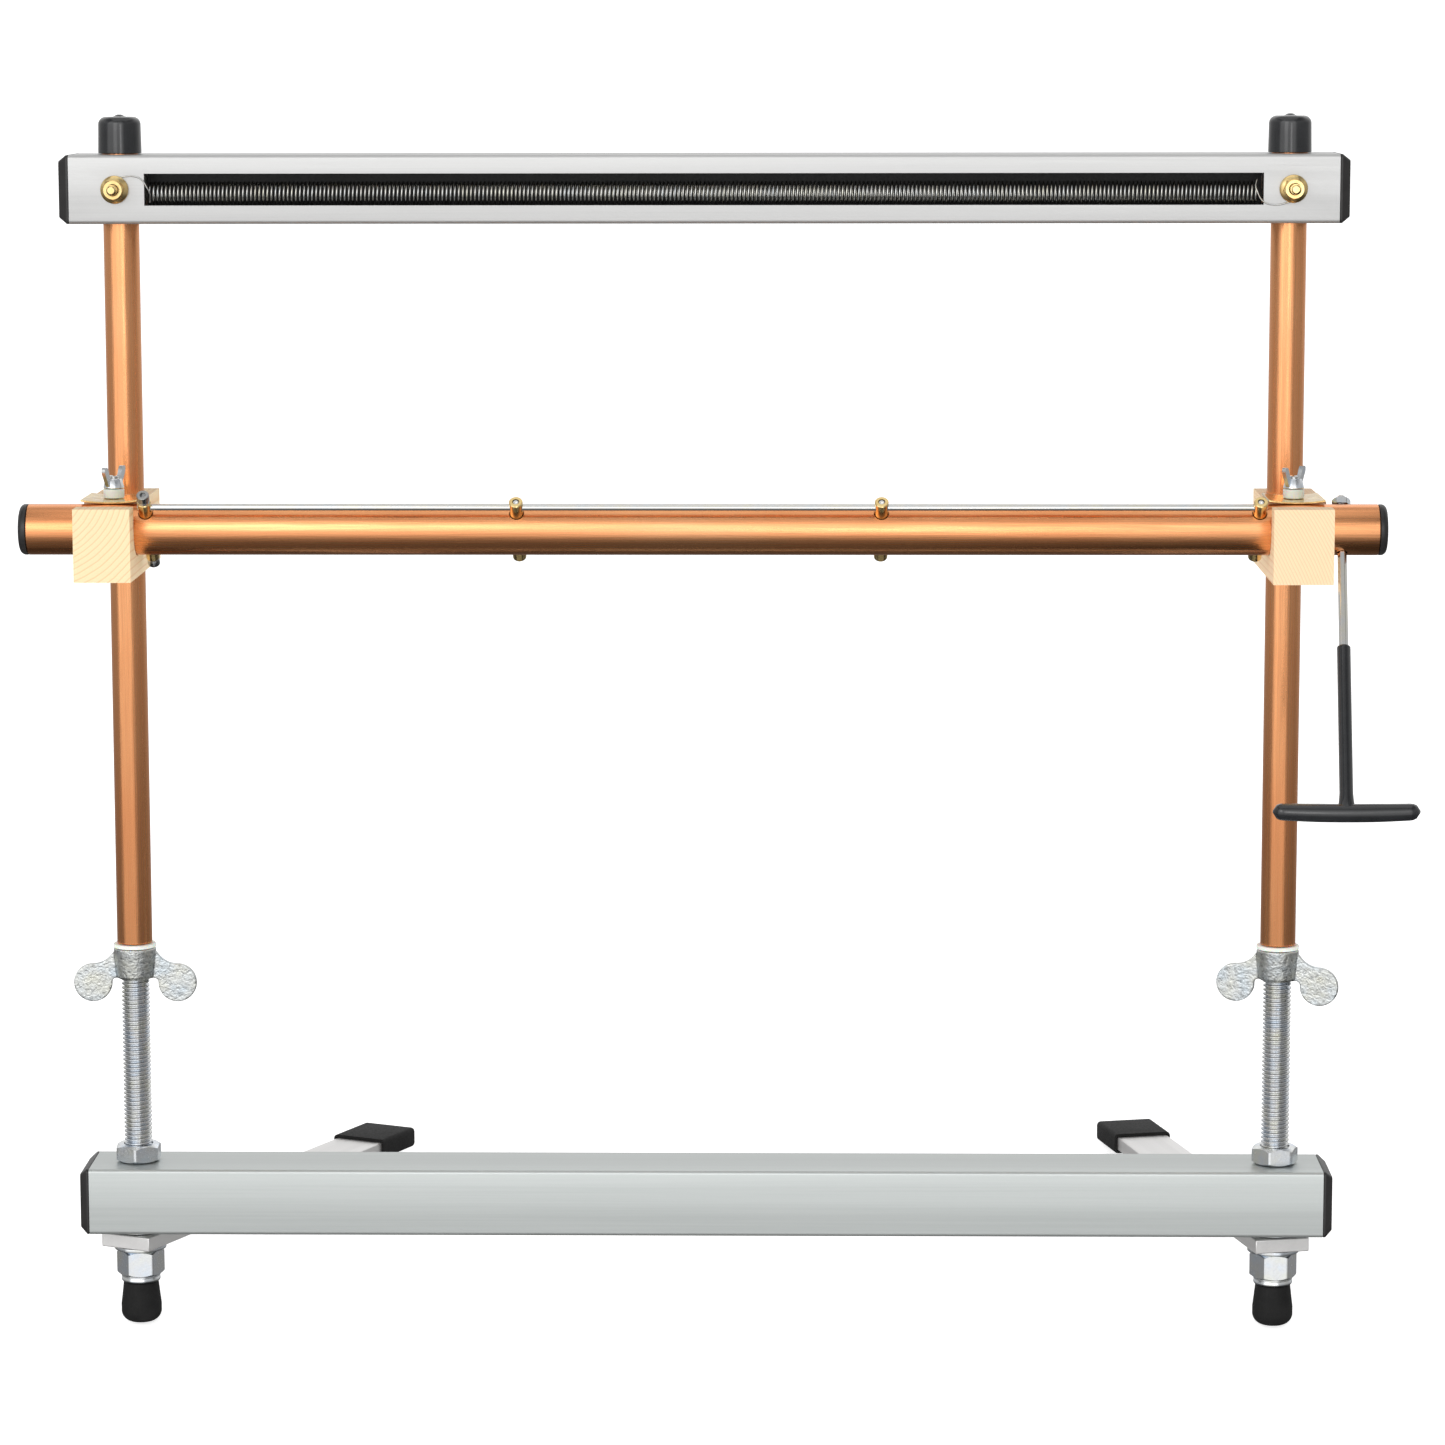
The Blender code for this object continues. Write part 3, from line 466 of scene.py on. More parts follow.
def smooth_path(controls, steps=10):
    """A Catmull-Rom curve through control points."""
    points = [Vector(p) for p in controls]
    padded = [points[0] * 2 - points[1]] + points + [points[-1] * 2 - points[-2]]
    path = []
    for i in range(1, len(padded) - 2):
        a, b, c, d = padded[i - 1:i + 3]
        for k in range(steps):
            t = k / steps
            path.append(0.5 * (2 * b + (c - a) * t + (2 * a - 5 * b + 4 * c - d) * t * t
                               + (3 * b - a - 3 * c + d) * t * t * t))
    path.append(points[-1])
    return path


# Materials

class Graph:
    """Adds nodes to a node tree in one line each."""

    def __init__(self, tree):
        self.tree = tree

    def add(self, kind, inputs, output=0, **settings):
        """Make a node, fill its inputs with numbers or sockets, and give one of its outputs."""
        node = self.tree.nodes.new("ShaderNode" + kind)
        for name, value in settings.items():
            setattr(node, name, value)
        for key, value in inputs.items():
            if isinstance(value, bpy.types.NodeSocket):
                self.tree.links.new(value, node.inputs[key])
            else:
                node.inputs[key].default_value = value
        return node if output is None else node.outputs[output]

    def ramp(self, value, stops):
        color = self.add("ValToRGB", {"Fac": value}, "Color")
        elements = color.node.color_ramp.elements
        while len(elements) < len(stops):
            elements.new(0.5)
        for element, (position, tone) in zip(elements, stops):
            element.position = position
            element.color = (*tone, 1.0) if isinstance(tone, tuple) else (tone, tone, tone, 1.0)
        return color

    def remap(self, value, low, high, out_low, out_high):
        return self.add("MapRange", {0: value, 1: low, 2: high, 3: out_low, 4: out_high})

    def math(self, operation, *values):
        return self.add("Math", dict(enumerate(values)), operation=operation)

    def mix(self, factor, a, b, blend="MIX"):
        a, b = ((*v, 1.0) if isinstance(v, tuple) else v for v in (a, b))
        return self.add("Mix", {0: factor, 6: a, 7: b}, 2, data_type="RGBA", blend_type=blend)


class Nodes(Graph):
    """A small helper that wires one procedural material."""

    def __init__(self, name):
        self.mat = bpy.data.materials.new(name)
        self.mat.use_nodes = True
        super().__init__(self.mat.node_tree)
        self.shader = self.tree.nodes["Principled BSDF"]
        self.coords = self.add("TexCoord", {}, "Object")

    def set(self, **values):
        for name, value in values.items():
            self.shader.inputs[name.replace("_", " ")].default_value = value

    def mapped(self, scale, rotation=(0, 0, 0)):
        return self.add("Mapping", {"Scale": scale, "Rotation": rotation, "Vector": self.coords},
                        "Vector")

    def noise(self, scale, detail=3.0, rough=0.5, vector=None, distortion=0.0):
        return self.add("TexNoise", {
            "Scale": scale, "Detail": detail, "Roughness": rough, "Distortion": distortion,
            "Vector": self.coords if vector is None else vector}, "Fac")

    def voronoi(self, scale):
        return self.add("TexVoronoi", {"Scale": scale, "Vector": self.coords}, "Distance",
                        feature="SMOOTH_F1")

    def bump(self, height, strength, distance, after=None):
        inputs = {"Strength": strength, "Distance": distance, "Height": height}
        if after is not None:
            inputs["Normal"] = after
        return self.add("Bump", inputs, "Normal")

    def color(self, value):
        self.tree.links.new(value, self.shader.inputs["Base Color"])

    def surface(self, pattern, low, high, *bumps):
        """Roughness from low to high over a pattern, then layers of bump; gives the material."""
        links = self.tree.links
        links.new(self.remap(pattern, 0.3, 0.7, low, high), self.shader.inputs["Roughness"])
        normal = None
        for height, strength, distance in bumps:
            normal = self.bump(height, strength, distance, normal)
        links.new(normal, self.shader.inputs["Normal"])
        return self.mat


def copper():
    """Brushed tube: streaks and fine scratches along Z, slow tarnish patches."""
    n = Nodes("copper_tube")
    n.set(Metallic=1.0)
    streaks = n.noise(1.0, 4.0, 0.6, n.mapped((1400, 1400, 28)))
    scratches = n.noise(1.0, 2.0, 0.6, n.mapped((2600, 2600, 160), (0.35, 0.2, 0)))
    patches = n.noise(26.0, 3.0, 0.55, n.mapped((1, 1, 0.35)))
    tone = n.ramp(patches, [(0.3, (0.93, 0.38, 0.16)), (0.55, (0.96, 0.43, 0.19)),
                            (0.75, (0.98, 0.48, 0.23))])
    dulled = n.mix(n.remap(streaks, 0.45, 0.75, 0.0, 0.30), tone, (0.72, 0.25, 0.10))
    n.color(dulled)
    return n.surface(streaks, 0.20, 0.33, (streaks, 0.16, 0.0003), (scratches, 0.10, 0.0002))


def aluminium(name, tint, along="X"):
    """Satin extrusion with drawing lines along its length."""
    n = Nodes(name)
    n.set(Metallic=0.85)
    lengthwise = {"X": (9, 900, 900), "Y": (900, 9, 900)}[along]
    lines = n.noise(1.0, 5.0, 0.62, n.mapped(lengthwise))
    broad = n.noise(1.0, 3.0, 0.5, n.mapped(tuple(v * 0.12 for v in lengthwise)))
    grain = n.noise(2400.0, 2.0, 0.5)
    light = tuple(min(1.0, c * 1.05) for c in tint)
    dark = tuple(c * 0.93 for c in tint)
    tone = n.ramp(broad, [(0.3, dark), (0.7, light)])
    n.color(n.mix(n.remap(lines, 0.35, 0.65, 0.0, 0.10), tone, (1.0, 1.0, 1.0)))
    return n.surface(lines, 0.36, 0.48, (lines, 0.08, 0.0002), (grain, 0.05, 0.0001))


def zinc(name, base, low, high, grain_scale=900.0, strength=0.10):
    """Bright zinc plate: slightly blue, fine grain, faint passivation colours."""
    n = Nodes(name)
    n.set(Metallic=1.0)
    film = n.noise(140.0, 3.0, 0.5)
    grain = n.noise(grain_scale, 3.0, 0.55)
    cool = tuple(c * f for c, f in zip(base, (0.94, 0.99, 1.05)))
    warm = tuple(c * f for c, f in zip(base, (1.02, 1.01, 0.93)))
    n.color(n.ramp(film, [(0.32, cool), (0.5, base), (0.68, warm)]))
    return n.surface(grain, low, high, (grain, strength, 0.0002))


def cast_zinc():
    """Rough plated casting: pits and lumps under a bright plate."""
    n = Nodes("cast_zinc")
    n.set(Metallic=1.0)
    lumps = n.noise(520.0, 4.0, 0.6, None, 0.6)
    pits = n.voronoi(900.0)
    film = n.noise(110.0, 3.0, 0.55)
    tone = n.ramp(film, [(0.3, (0.63, 0.69, 0.73)), (0.5, (0.70, 0.72, 0.71)),
                         (0.7, (0.70, 0.70, 0.63))])
    shade = n.remap(lumps, 0.35, 0.5, 0.72, 1.0)
    n.color(n.mix(1.0, tone, n.ramp(shade, [(0.0, (0, 0, 0)), (1.0, (1, 1, 1))]), "MULTIPLY"))
    return n.surface(lumps, 0.22, 0.42, (lumps, 0.55, 0.0009), (pits, 0.25, 0.0005))


def brass():
    n = Nodes("brass_fittings")
    n.set(Metallic=1.0)
    film = n.noise(180.0, 3.0, 0.5)
    turning = n.noise(1.0, 3.0, 0.5, n.mapped((300, 300, 2200)))
    n.color(n.ramp(film, [(0.3, (0.74, 0.50, 0.20)), (0.6, (0.92, 0.70, 0.33)),
                          (0.8, (0.97, 0.80, 0.45))]))
    return n.surface(turning, 0.14, 0.26, (turning, 0.08, 0.0002))


def maple(name, center, spacing, tone_dark, tone_light):
    """Maple with growth rings about a line along Y, pores and flecks between them."""
    n = Nodes(name)
    cx, cz = center
    wander = n.noise(34.0, 3.0, 0.5, n.mapped((1, 0.12, 1)))
    place = n.add("SeparateXYZ", {0: n.coords}).node.outputs
    dx = n.math("SUBTRACT", place[0], cx)
    dz = n.math("SUBTRACT", place[2], cz)
    distance = n.math("SQRT", n.math("ADD", n.math("MULTIPLY", dx, dx), n.math("MULTIPLY", dz, dz)))
    bent = n.math("ADD", distance, n.math("MULTIPLY", n.math("SUBTRACT", wander, 0.5), spacing * 1.5))
    phase = n.math("FRACT", n.math("DIVIDE", bent, spacing))
    ring = n.ramp(phase, [(0.0, (0.02, 0.02, 0.02)), (0.68, (0.10, 0.10, 0.10)),
                          (0.86, (0.78, 0.78, 0.78)), (0.93, (1.0, 1.0, 1.0)),
                          (1.0, (0.02, 0.02, 0.02))])
    fibres = n.noise(1.0, 4.0, 0.6, n.mapped((1800, 45, 1800)))
    flecks = n.noise(1.0, 2.0, 0.5, n.mapped((2600, 260, 2600)))
    base = n.mix(ring, tone_light, tone_dark)
    streaked = n.mix(n.remap(fibres, 0.42, 0.72, 0.0, 0.22), base, tone_dark)
    n.color(n.mix(n.remap(flecks, 0.60, 0.74, 0.0, 0.30), streaked, (0.78, 0.52, 0.29)))
    n.set(Roughness=0.55, Specular_IOR_Level=0.35, Subsurface_Weight=0.04,
          Subsurface_Scale=0.002)
    return n.surface(fibres, 0.50, 0.66, (fibres, 0.18, 0.0002), (ring, 0.05, 0.0001))


def nylon():
    n = Nodes("nylon_milky")
    cloud = n.noise(260.0, 3.0, 0.5)
    n.color(n.ramp(cloud, [(0.3, (0.80, 0.82, 0.75)), (0.7, (0.91, 0.92, 0.87))]))
    n.set(Subsurface_Weight=0.35, Subsurface_Scale=0.003, IOR=1.5)
    return n.surface(cloud, 0.32, 0.46, (n.noise(1500.0, 2.0), 0.05, 0.0001))


def black(name, tone, low, high, grain_scale, strength, coat=0.0, shine=0.5):
    """Black rubber, vinyl or moulded plastic, told apart by gloss and grain."""
    n = Nodes(name)
    cloud = n.noise(120.0, 3.0, 0.5)
    grain = n.noise(grain_scale, 3.0, 0.6)
    n.color(n.ramp(cloud, [(0.3, tuple(c * 0.8 for c in tone)), (0.7, tuple(c * 1.25 for c in tone))]))
    n.set(Coat_Weight=coat, Coat_Roughness=0.08, Specular_IOR_Level=shine)
    return n.surface(grain, low, high, (grain, strength, 0.0002))


COPPER = copper()
BEAM_TOP_LOOK = aluminium("aluminium_top_beam", (0.54, 0.54, 0.535))
BEAM_BOTTOM_LOOK = aluminium("aluminium_bottom_beam", (0.55, 0.58, 0.57))
LEG_LOOK = aluminium("aluminium_leg", (0.84, 0.83, 0.82), "Y")
ZINC = zinc("zinc_plate", (0.80, 0.82, 0.84), 0.16, 0.28)
ROD_ZINC = zinc("zinc_rod", (0.70, 0.71, 0.72), 0.18, 0.30, 1400.0, 0.06)
STEEL = zinc("bright_steel", (0.78, 0.77, 0.74), 0.10, 0.18, 1800.0, 0.04)
CAP_SCREW = zinc("cap_screw_steel", (0.40, 0.40, 0.40), 0.16, 0.26, 1500.0, 0.06)
SPRING = zinc("spring_wire", (0.62, 0.61, 0.58), 0.16, 0.24, 2000.0, 0.03)
CAST = cast_zinc()
BRASS = brass()
MAPLE = {
    "left": maple("maple_left", (-28 * MM, 27 * MM), 2.4 * MM, (0.86, 0.56, 0.29),
                  (0.95, 0.75, 0.47)),
    "right": maple("maple_right", (-88 * MM, -49 * MM), 1.35 * MM, (0.84, 0.53, 0.30),
                   (0.95, 0.72, 0.46)),
}
NYLON = nylon()
VINYL = black("black_vinyl", (0.014, 0.015, 0.017), 0.16, 0.26, 500.0, 0.03, 0.5)
RUBBER = black("black_rubber", (0.012, 0.012, 0.012), 0.55, 0.75, 1200.0, 0.12, 0.0, 0.18)
PLASTIC = black("black_plastic", (0.016, 0.015, 0.015), 0.30, 0.45, 1600.0, 0.08)
DARK_CHANNEL = black("channel_plastic", (0.006, 0.006, 0.006), 0.5, 0.7, 1200.0, 0.05)


# Beams

def beam(name, mid_z, look, body):
    """Rectangular tube with rounded corners, open at both ends."""
    outer = rounded_rectangle(BEAM_DEPTH, BEAM_HEIGHT, BEAM_CORNER)
    inner = rounded_rectangle(BEAM_DEPTH - 2 * BEAM_WALL, BEAM_HEIGHT - 2 * BEAM_WALL, 0.5 * MM)
    bm = bmesh.new()
    rings = []
    for outline, x in ((outer, -BEAM_HALF), (outer, BEAM_HALF), (inner, BEAM_HALF),
                       (inner, -BEAM_HALF)):
        rings.append([(x, y, z) for y, z in outline])
    loft(bm, rings, closed=True)
    return finish_piece(name + "_shell", bm, at(0, 0, mid_z), look, body, "aluminium", (name,))


def bottom_beam():
    tube = beam("bottom_beam", -BEAM_HEIGHT / 2, BEAM_BOTTOM_LOOK, "base")
    holes = [cylinder(ROD_HOLE, -BEAM_DEPTH, BEAM_DEPTH, 48, "Z", (side * UPRIGHT_X, 0, 0))
             for side in SIDES.values()]
    resmooth(cut(tube, holes))


def top_beam():
    tube = beam("top_beam", BEAM_MID_Z, BEAM_TOP_LOOK, "upper_frame")
    holes = []
    for side in SIDES.values():
        holes.append(cylinder(UPRIGHT_R + GAP, -BEAM_DEPTH, BEAM_DEPTH, 64, "Z",
                              (side * UPRIGHT_X, 0, 0)))
        holes.append(cylinder(SCREW_R + GAP, -BEAM_DEPTH, BEAM_DEPTH, 32, "Y",
                              (side * UPRIGHT_X, 0, 0)))
    holes.append(box((2 * SLOT_HALF, 2 * BEAM_WALL + 2 * MM, SLOT_HEIGHT), (0, -BEAM_DEPTH / 2, 0)))
    resmooth(cut(tube, holes))


def beam_cap(name, side, mid_z, body, head):
    """Plastic plug with a chamfered head and a faint moulded step round it."""
    inside = (BEAM_DEPTH - 2 * BEAM_WALL - 2 * GAP, BEAM_HEIGHT - 2 * BEAM_WALL - 2 * GAP)
    chamfer = CAP_CHAMFER
    sections = [
        (-CAP_PLUG, inside[0] - 1.0 * MM, inside[1] - 1.0 * MM, 0.5 * MM),
        (GAP, inside[0], inside[1], 0.5 * MM),
        (GAP, BEAM_DEPTH, BEAM_HEIGHT, BEAM_CORNER),
        (GAP + 0.8 * MM, BEAM_DEPTH, BEAM_HEIGHT, BEAM_CORNER),
        (GAP + 1.0 * MM, BEAM_DEPTH - 0.2 * MM, BEAM_HEIGHT - 0.2 * MM, BEAM_CORNER),
        (GAP + head - 0.3 * MM, BEAM_DEPTH - 2 * chamfer + 0.3 * MM,
         BEAM_HEIGHT - 2 * chamfer + 0.3 * MM, BEAM_CORNER * 0.8),
        (GAP + head, BEAM_DEPTH - 2 * chamfer - 0.3 * MM, BEAM_HEIGHT - 2 * chamfer - 0.3 * MM,
         BEAM_CORNER * 0.7),
    ]
    bm = bmesh.new()
    rings = []
    for out, depth, height, corner in sections:
        rings.append([(side * out, y, z) for y, z in rounded_rectangle(depth, height, corner)])
    loft(bm, rings)
    return finish_piece(name + "_plug", bm, at(side * BEAM_HALF, 0, mid_z), PLASTIC, body,
                        "black_plastic", (name,), 25.0)


# Warp coil and its fasteners

def coil_turn_point(x, start, phase):
    angle = 2 * math.pi * (x - start) / COIL_PITCH + phase
    reach = COIL_R - COIL_WIRE_R
    return Vector((x, COIL_Y - reach * math.cos(angle), reach * math.sin(angle)))


def warp_coil():
    """The spring itself, one helix from end to end."""
    start = -COIL_HALF + COIL_WIRE_R
    end = COIL_HALF - COIL_WIRE_R
    steps = 20
    count = int((end - start) / COIL_PITCH * steps)
    points = [coil_turn_point(start + i * COIL_PITCH / steps, start, 0.0) for i in range(count + 1)]
    bm = bmesh.new()
    swept(bm, points, COIL_WIRE_R, 6)
    finish_piece("warp_coil_spring", bm, at(0, 0, BEAM_MID_Z - COIL_DROP), SPRING, "upper_frame",
                 "spring_steel", ("warp_coil",), 80.0)


LEAD_WIRES = {
    "left": ((-243.8, -5.6), (-243.5, -1.9), (-244.8, 1.1), (-246.2, 3.5), (-248.2, 5.2),
             (-250.9, 5.9), (-253.2, 5.9), (-257.3, 5.3), (-259.0, 5.0)),
    "right": ((243.1, 4.1), (242.4, 1.2), (243.1, -1.1), (244.3, -3.8), (245.8, -5.5),
              (247.8, -6.5), (250.5, -7.0), (253.5, -6.8), (256.2, -6.1), (257.9, -5.7)),
}


def lead_wire(label):
    """The coil's end, drawn out over the beam and under the flange nut."""
    face = -BEAM_DEPTH / 2 - 0.42 * MM
    depths = [COIL_Y - COIL_R + 0.5 * MM, -BEAM_DEPTH / 2 + 0.4 * MM]
    controls = []
    for index, (x, z) in enumerate(LEAD_WIRES[label]):
        controls.append((x * MM, depths[index] if index < 2 else face, z * MM))
    bm = bmesh.new()
    swept(bm, smooth_path(controls), 0.32 * MM, 8)
    finish_piece("coil_lead_" + label, bm, at(0, 0, BEAM_MID_Z), SPRING, "upper_frame",
                 "spring_steel", (), 80.0)


def coil_backing():
    sheet = 1.2 * MM
    front = -BEAM_DEPTH / 2 + BEAM_WALL + GAP
    back = COIL_Y + COIL_R + 1.6 * MM
    low = -SLOT_HEIGHT / 2 - 1.6 * MM
    outline = [(front, low), (front, low + sheet), (back - sheet, low + sheet),
               (back - sheet, -low - sheet), (front, -low - sheet), (front, -low),
               (back, -low), (back, low)]
    bm = bmesh.new()
    loft(bm, [[(x, y, z) for y, z in outline] for x in (-SLOT_HALF, SLOT_HALF)])
    finish_piece("coil_channel", bm, at(0, 0, BEAM_MID_Z), DARK_CHANNEL, "upper_frame",
                 "black_plastic", ("coil_backing",))


def hex_radius(angle, across_flats, round_off=0.985):
    """Radius of a hexagon at an angle, with its corners just taken off."""
    sector = math.pi / 3
    inside = (angle % sector) - sector / 2
    radius = across_flats / 2 / math.cos(inside)
    corner = across_flats / 2 / math.cos(sector / 2)
    return min(radius, corner * round_off)


def hexagon(bm, across_flats, low, high, bore, turn, top=True, bottom=True, slope=35.0,
            sides=120, start_r=None):
    """A hexagon nut with the curved chamfers that a lathe leaves on its corners."""
    flat_r = start_r or across_flats / 2 * 0.94
    drop = math.tan(math.radians(slope))
    rings = []
    angles = [2 * math.pi * i / sides for i in range(sides)]

    def ring(radius_of, height_of):
        points = []
        for angle in angles:
            r = radius_of(angle)
            world = angle + turn
            points.append((r * math.cos(world), r * math.sin(world), height_of(angle)))
        return points

    outer = lambda a: hex_radius(a, across_flats)
    seat = lambda a: min(flat_r, outer(a))
    cut_back = lambda a: max(0.0, (outer(a) - flat_r) * drop)
    rings.append(ring(lambda a: bore, lambda a: low))
    if bottom:
        rings.append(ring(seat, lambda a: low))
    rings.append(ring(outer, lambda a: low + cut_back(a) if bottom else low))
    rings.append(ring(outer, lambda a: high - cut_back(a) if top else high))
    if top:
        rings.append(ring(seat, lambda a: high))
    rings.append(ring(lambda a: bore, lambda a: high))
    loft(bm, rings, closed=True)


def beam_fasteners(label, side):
    """Screw through beam and upright, with a washer-faced brass nut in front."""
    back = BEAM_DEPTH / 2 + GAP
    bm = bmesh.new()
    head = [(0, back + 2.8 * MM), (1.6 * MM, back + 2.7 * MM), (3.0 * MM, back + 2.4 * MM),
            (4.1 * MM, back + 1.7 * MM), (4.6 * MM, back + 0.8 * MM), (4.6 * MM, back),
            (SCREW_R * 0.96, back), (SCREW_R * 0.96, SCREW_TIP_Y + 6 * MM),
            (SCREW_R * 0.9, SCREW_TIP_Y + 5.8 * MM), (0, SCREW_TIP_Y + 5.8 * MM)]
    turned(bm, head, 48)
    screw = finish_piece("beam_screw_%s_head" % label, bm,
                         aimed((side * UPRIGHT_X, 0, BEAM_MID_Z), (0, 1, 0)), BRASS,
                         "upper_frame", "brass", ("beam_screw_" + label,))
    slot = box((10 * MM, 1.0 * MM, 1.2 * MM), (0, 0, back + 2.6 * MM))
    resmooth(cut(screw, [slot]))
    bm = bmesh.new()
    threaded(bm, SCREW_R, 0.35 * MM, 0.79 * MM, -SCREW_TIP_Y - 7.5 * MM, -SCREW_TIP_Y - 0.5 * MM, 32)
    turned(bm, [(0, -SCREW_TIP_Y), (SCREW_R - 0.9 * MM, -SCREW_TIP_Y),
                (SCREW_R - 0.3 * MM, -SCREW_TIP_Y - 0.42 * MM), (0, -SCREW_TIP_Y - 0.42 * MM)], 32)
    finish_piece("beam_screw_%s_tip" % label, bm,
                 aimed((side * UPRIGHT_X, 0, BEAM_MID_Z), (0, -1, 0)), BRASS,
                 "upper_frame", "brass")
    bm = bmesh.new()
    hexagon(bm, 8.6 * MM, 1.2 * MM, 6.4 * MM, SCREW_R + GAP, math.radians(12), True, False)
    flange = [(SCREW_R + GAP, 0)] + [(FLANGE_R - 0.2 * MM, 0)]
    flange += arc((FLANGE_R - 0.5 * MM, 0.5 * MM), 0.5 * MM, -60, 60, 5)
    flange += [(4.6 * MM, 1.7 * MM), (4.0 * MM, 2.0 * MM), (SCREW_R + GAP, 2.0 * MM)]
    turned(bm, flange, 96, True)
    face = (side * UPRIGHT_X, -BEAM_DEPTH / 2 - GAP, BEAM_MID_Z)
    finish_piece("flange_nut_%s_body" % label, bm, aimed(face, (0, -1, 0)), BRASS,
                 "upper_frame", "brass", ("flange_nut_" + label,), 25.0)


# Uprights, rods and their nuts

def upright(label, side):
    profile = rounded_tube_profile(UPRIGHT_R, UPRIGHT_BORE, UPRIGHT_Z0, UPRIGHT_Z1, 0.25 * MM)
    tube = new_turned("upright_%s_tube" % label, profile, at(side * UPRIGHT_X, 0, 0), COPPER,
                      "upper_frame", "copper", ("upright_" + label,), 96, True)
    hole = cylinder(SCREW_R + GAP, -20 * MM, 20 * MM, 24, "Y", (0, 0, BEAM_MID_Z))
    resmooth(cut(tube, [hole]))


def upright_cap(label, side):
    """Dipped vinyl cap: soft shoulder, small nipple, slightly flared rim."""
    outer = 9.6 * MM
    top = UPRIGHT_Z1 + GAP + 1.6 * MM
    inner = UPRIGHT_R + GAP
    edge = 3.4 * MM
    low = TOP_BEAM_Z + GAP
    profile = [(0, top + 1.0 * MM), (0.9 * MM, top + 0.95 * MM), (1.7 * MM, top + 0.7 * MM),
               (2.3 * MM, top + 0.25 * MM), (3.0 * MM, top + 0.02 * MM)]
    profile += arc((outer - edge - 0.2 * MM, top - edge), edge, 80, 5, 9)
    profile += [(outer - 0.15 * MM, top - 7 * MM), (outer, low + 1.5 * MM), (outer, low + 0.3 * MM),
                (outer - 0.3 * MM, low), (inner, low), (inner, UPRIGHT_Z1 + GAP),
                (0, UPRIGHT_Z1 + GAP)]
    new_turned("upright_cap_%s_vinyl" % label, profile, at(side * UPRIGHT_X, 0, 0), VINYL,
               "upper_frame", "black_vinyl", ("upright_cap_" + label,), 96, False, 40.0)


def threaded_rod(label, side):
    bm = bmesh.new()
    threaded(bm, ROD_R, THREAD_DEPTH, ROD_PITCH, ROD_Z0, ROD_Z1)
    finish_piece("threaded_rod_%s_thread" % label, bm, at(side * UPRIGHT_X, 0, 0), ROD_ZINC,
                 "base", "zinc_steel", ("threaded_rod_" + label,), 60.0)


def jam_nut(label, side):
    bm = bmesh.new()
    hexagon(bm, NUT_AF, GAP, GAP + JAM_NUT_H, ROD_HOLE, math.radians(JAM_TURN[label]))
    finish_piece("jam_nut_%s_hex" % label, bm, at(side * UPRIGHT_X, 0, 0), ZINC, "base",
                 "zinc_steel", ("jam_nut_" + label,), 20.0)


def lock_nut(label, side):
    """Hexagon above, and below it the rolled collar that holds the plastic ring."""
    bm = bmesh.new()
    seat = LOCK_NUT_Z - LOCK_NUT_HEX_H
    hexagon(bm, NUT_AF, seat, LOCK_NUT_Z, ROD_HOLE, math.radians(LOCK_TURN[label]))
    bottom = LOCK_NUT_Z - LOCK_NUT_H
    r = LOCK_NUT_COLLAR
    profile = [(ROD_HOLE, seat + 0.5 * MM), (r, seat + 0.5 * MM), (r, seat - 0.6 * MM)]
    profile += [(r - 0.35 * MM, seat - 0.9 * MM), (r - 0.2 * MM, seat - 1.3 * MM)]
    profile += arc((r - 1.1 * MM, bottom + 1.1 * MM), 1.1 * MM, 20, -90, 6)
    profile += [(ROD_HOLE, bottom)]
    turned(bm, profile, 96, True)
    finish_piece("lock_nut_%s_body" % label, bm, at(side * UPRIGHT_X, 0, 0), ZINC, "base",
                 "zinc_steel", ("lock_nut_" + label,), 20.0)


def foot(label, side):
    top = LOCK_NUT_Z - LOCK_NUT_H - GAP
    pocket = ROD_Z0 - GAP
    profile = [(0, pocket), (ROD_HOLE, pocket), (ROD_HOLE, top), (7.7 * MM, top)]
    profile += [(8.0 * MM, top - 0.4 * MM), (8.6 * MM, FOOT_Z0 + 13 * MM),
                (9.2 * MM, FOOT_Z0 + 8.2 * MM)]
    profile += arc((FOOT_FLAT_R, FOOT_Z0 + 5.2 * MM), 5.2 * MM, 8, -90, 10)
    profile += [(0, FOOT_Z0)]
    new_turned("foot_%s_rubber" % label, profile, at(side * UPRIGHT_X, 0, 0), RUBBER, "base",
               "black_rubber", ("foot_" + label,), 96, False, 40.0)


def nylon_washer(label, side):
    profile = rounded_tube_profile(WASHER_R, ROD_HOLE, WASHER_Z, WASHER_Z + WASHER_T, 0.4 * MM)
    new_turned("nylon_washer_%s_ring" % label, profile, at(side * UPRIGHT_X, 0, 0), NYLON,
               "upper_frame", "nylon", ("nylon_washer_" + label,), 96, True)


def wing_outline(reach, radius, drop, height, root):
    """One drooping wing: a concave neck, a round lobe and a small notch under the hub."""
    center = (reach - radius, -drop)
    neck_r = 10.7 * MM
    points = [(root, -1.0 * MM)]
    points += arc((center[0], -drop + radius + neck_r), neck_r, 211, 268, 16)
    points += arc(center, radius, 90, -175, 44)
    points += arc((8.5 * MM, -height - 1.9 * MM), 2.1 * MM, 0, 120, 10)
    return points + [(root, -height + 1.2 * MM)]


def solid_plate(outline, thickness):
    """A flat outline in X and Z, thickened both ways along Y, by filling the outline."""
    bm = bmesh.new()
    verts = [bm.verts.new((x, -thickness / 2, z)) for x, z in outline]
    face = bm.faces.new(verts)
    result = bmesh.ops.extrude_face_region(bm, geom=[face])
    moved = [item for item in result["geom"] if isinstance(item, bmesh.types.BMVert)]
    bmesh.ops.translate(bm, verts=moved, vec=(0, thickness, 0))
    bmesh.ops.triangulate(bm, faces=[f for f in bm.faces if len(f.verts) > 4])
    return bm


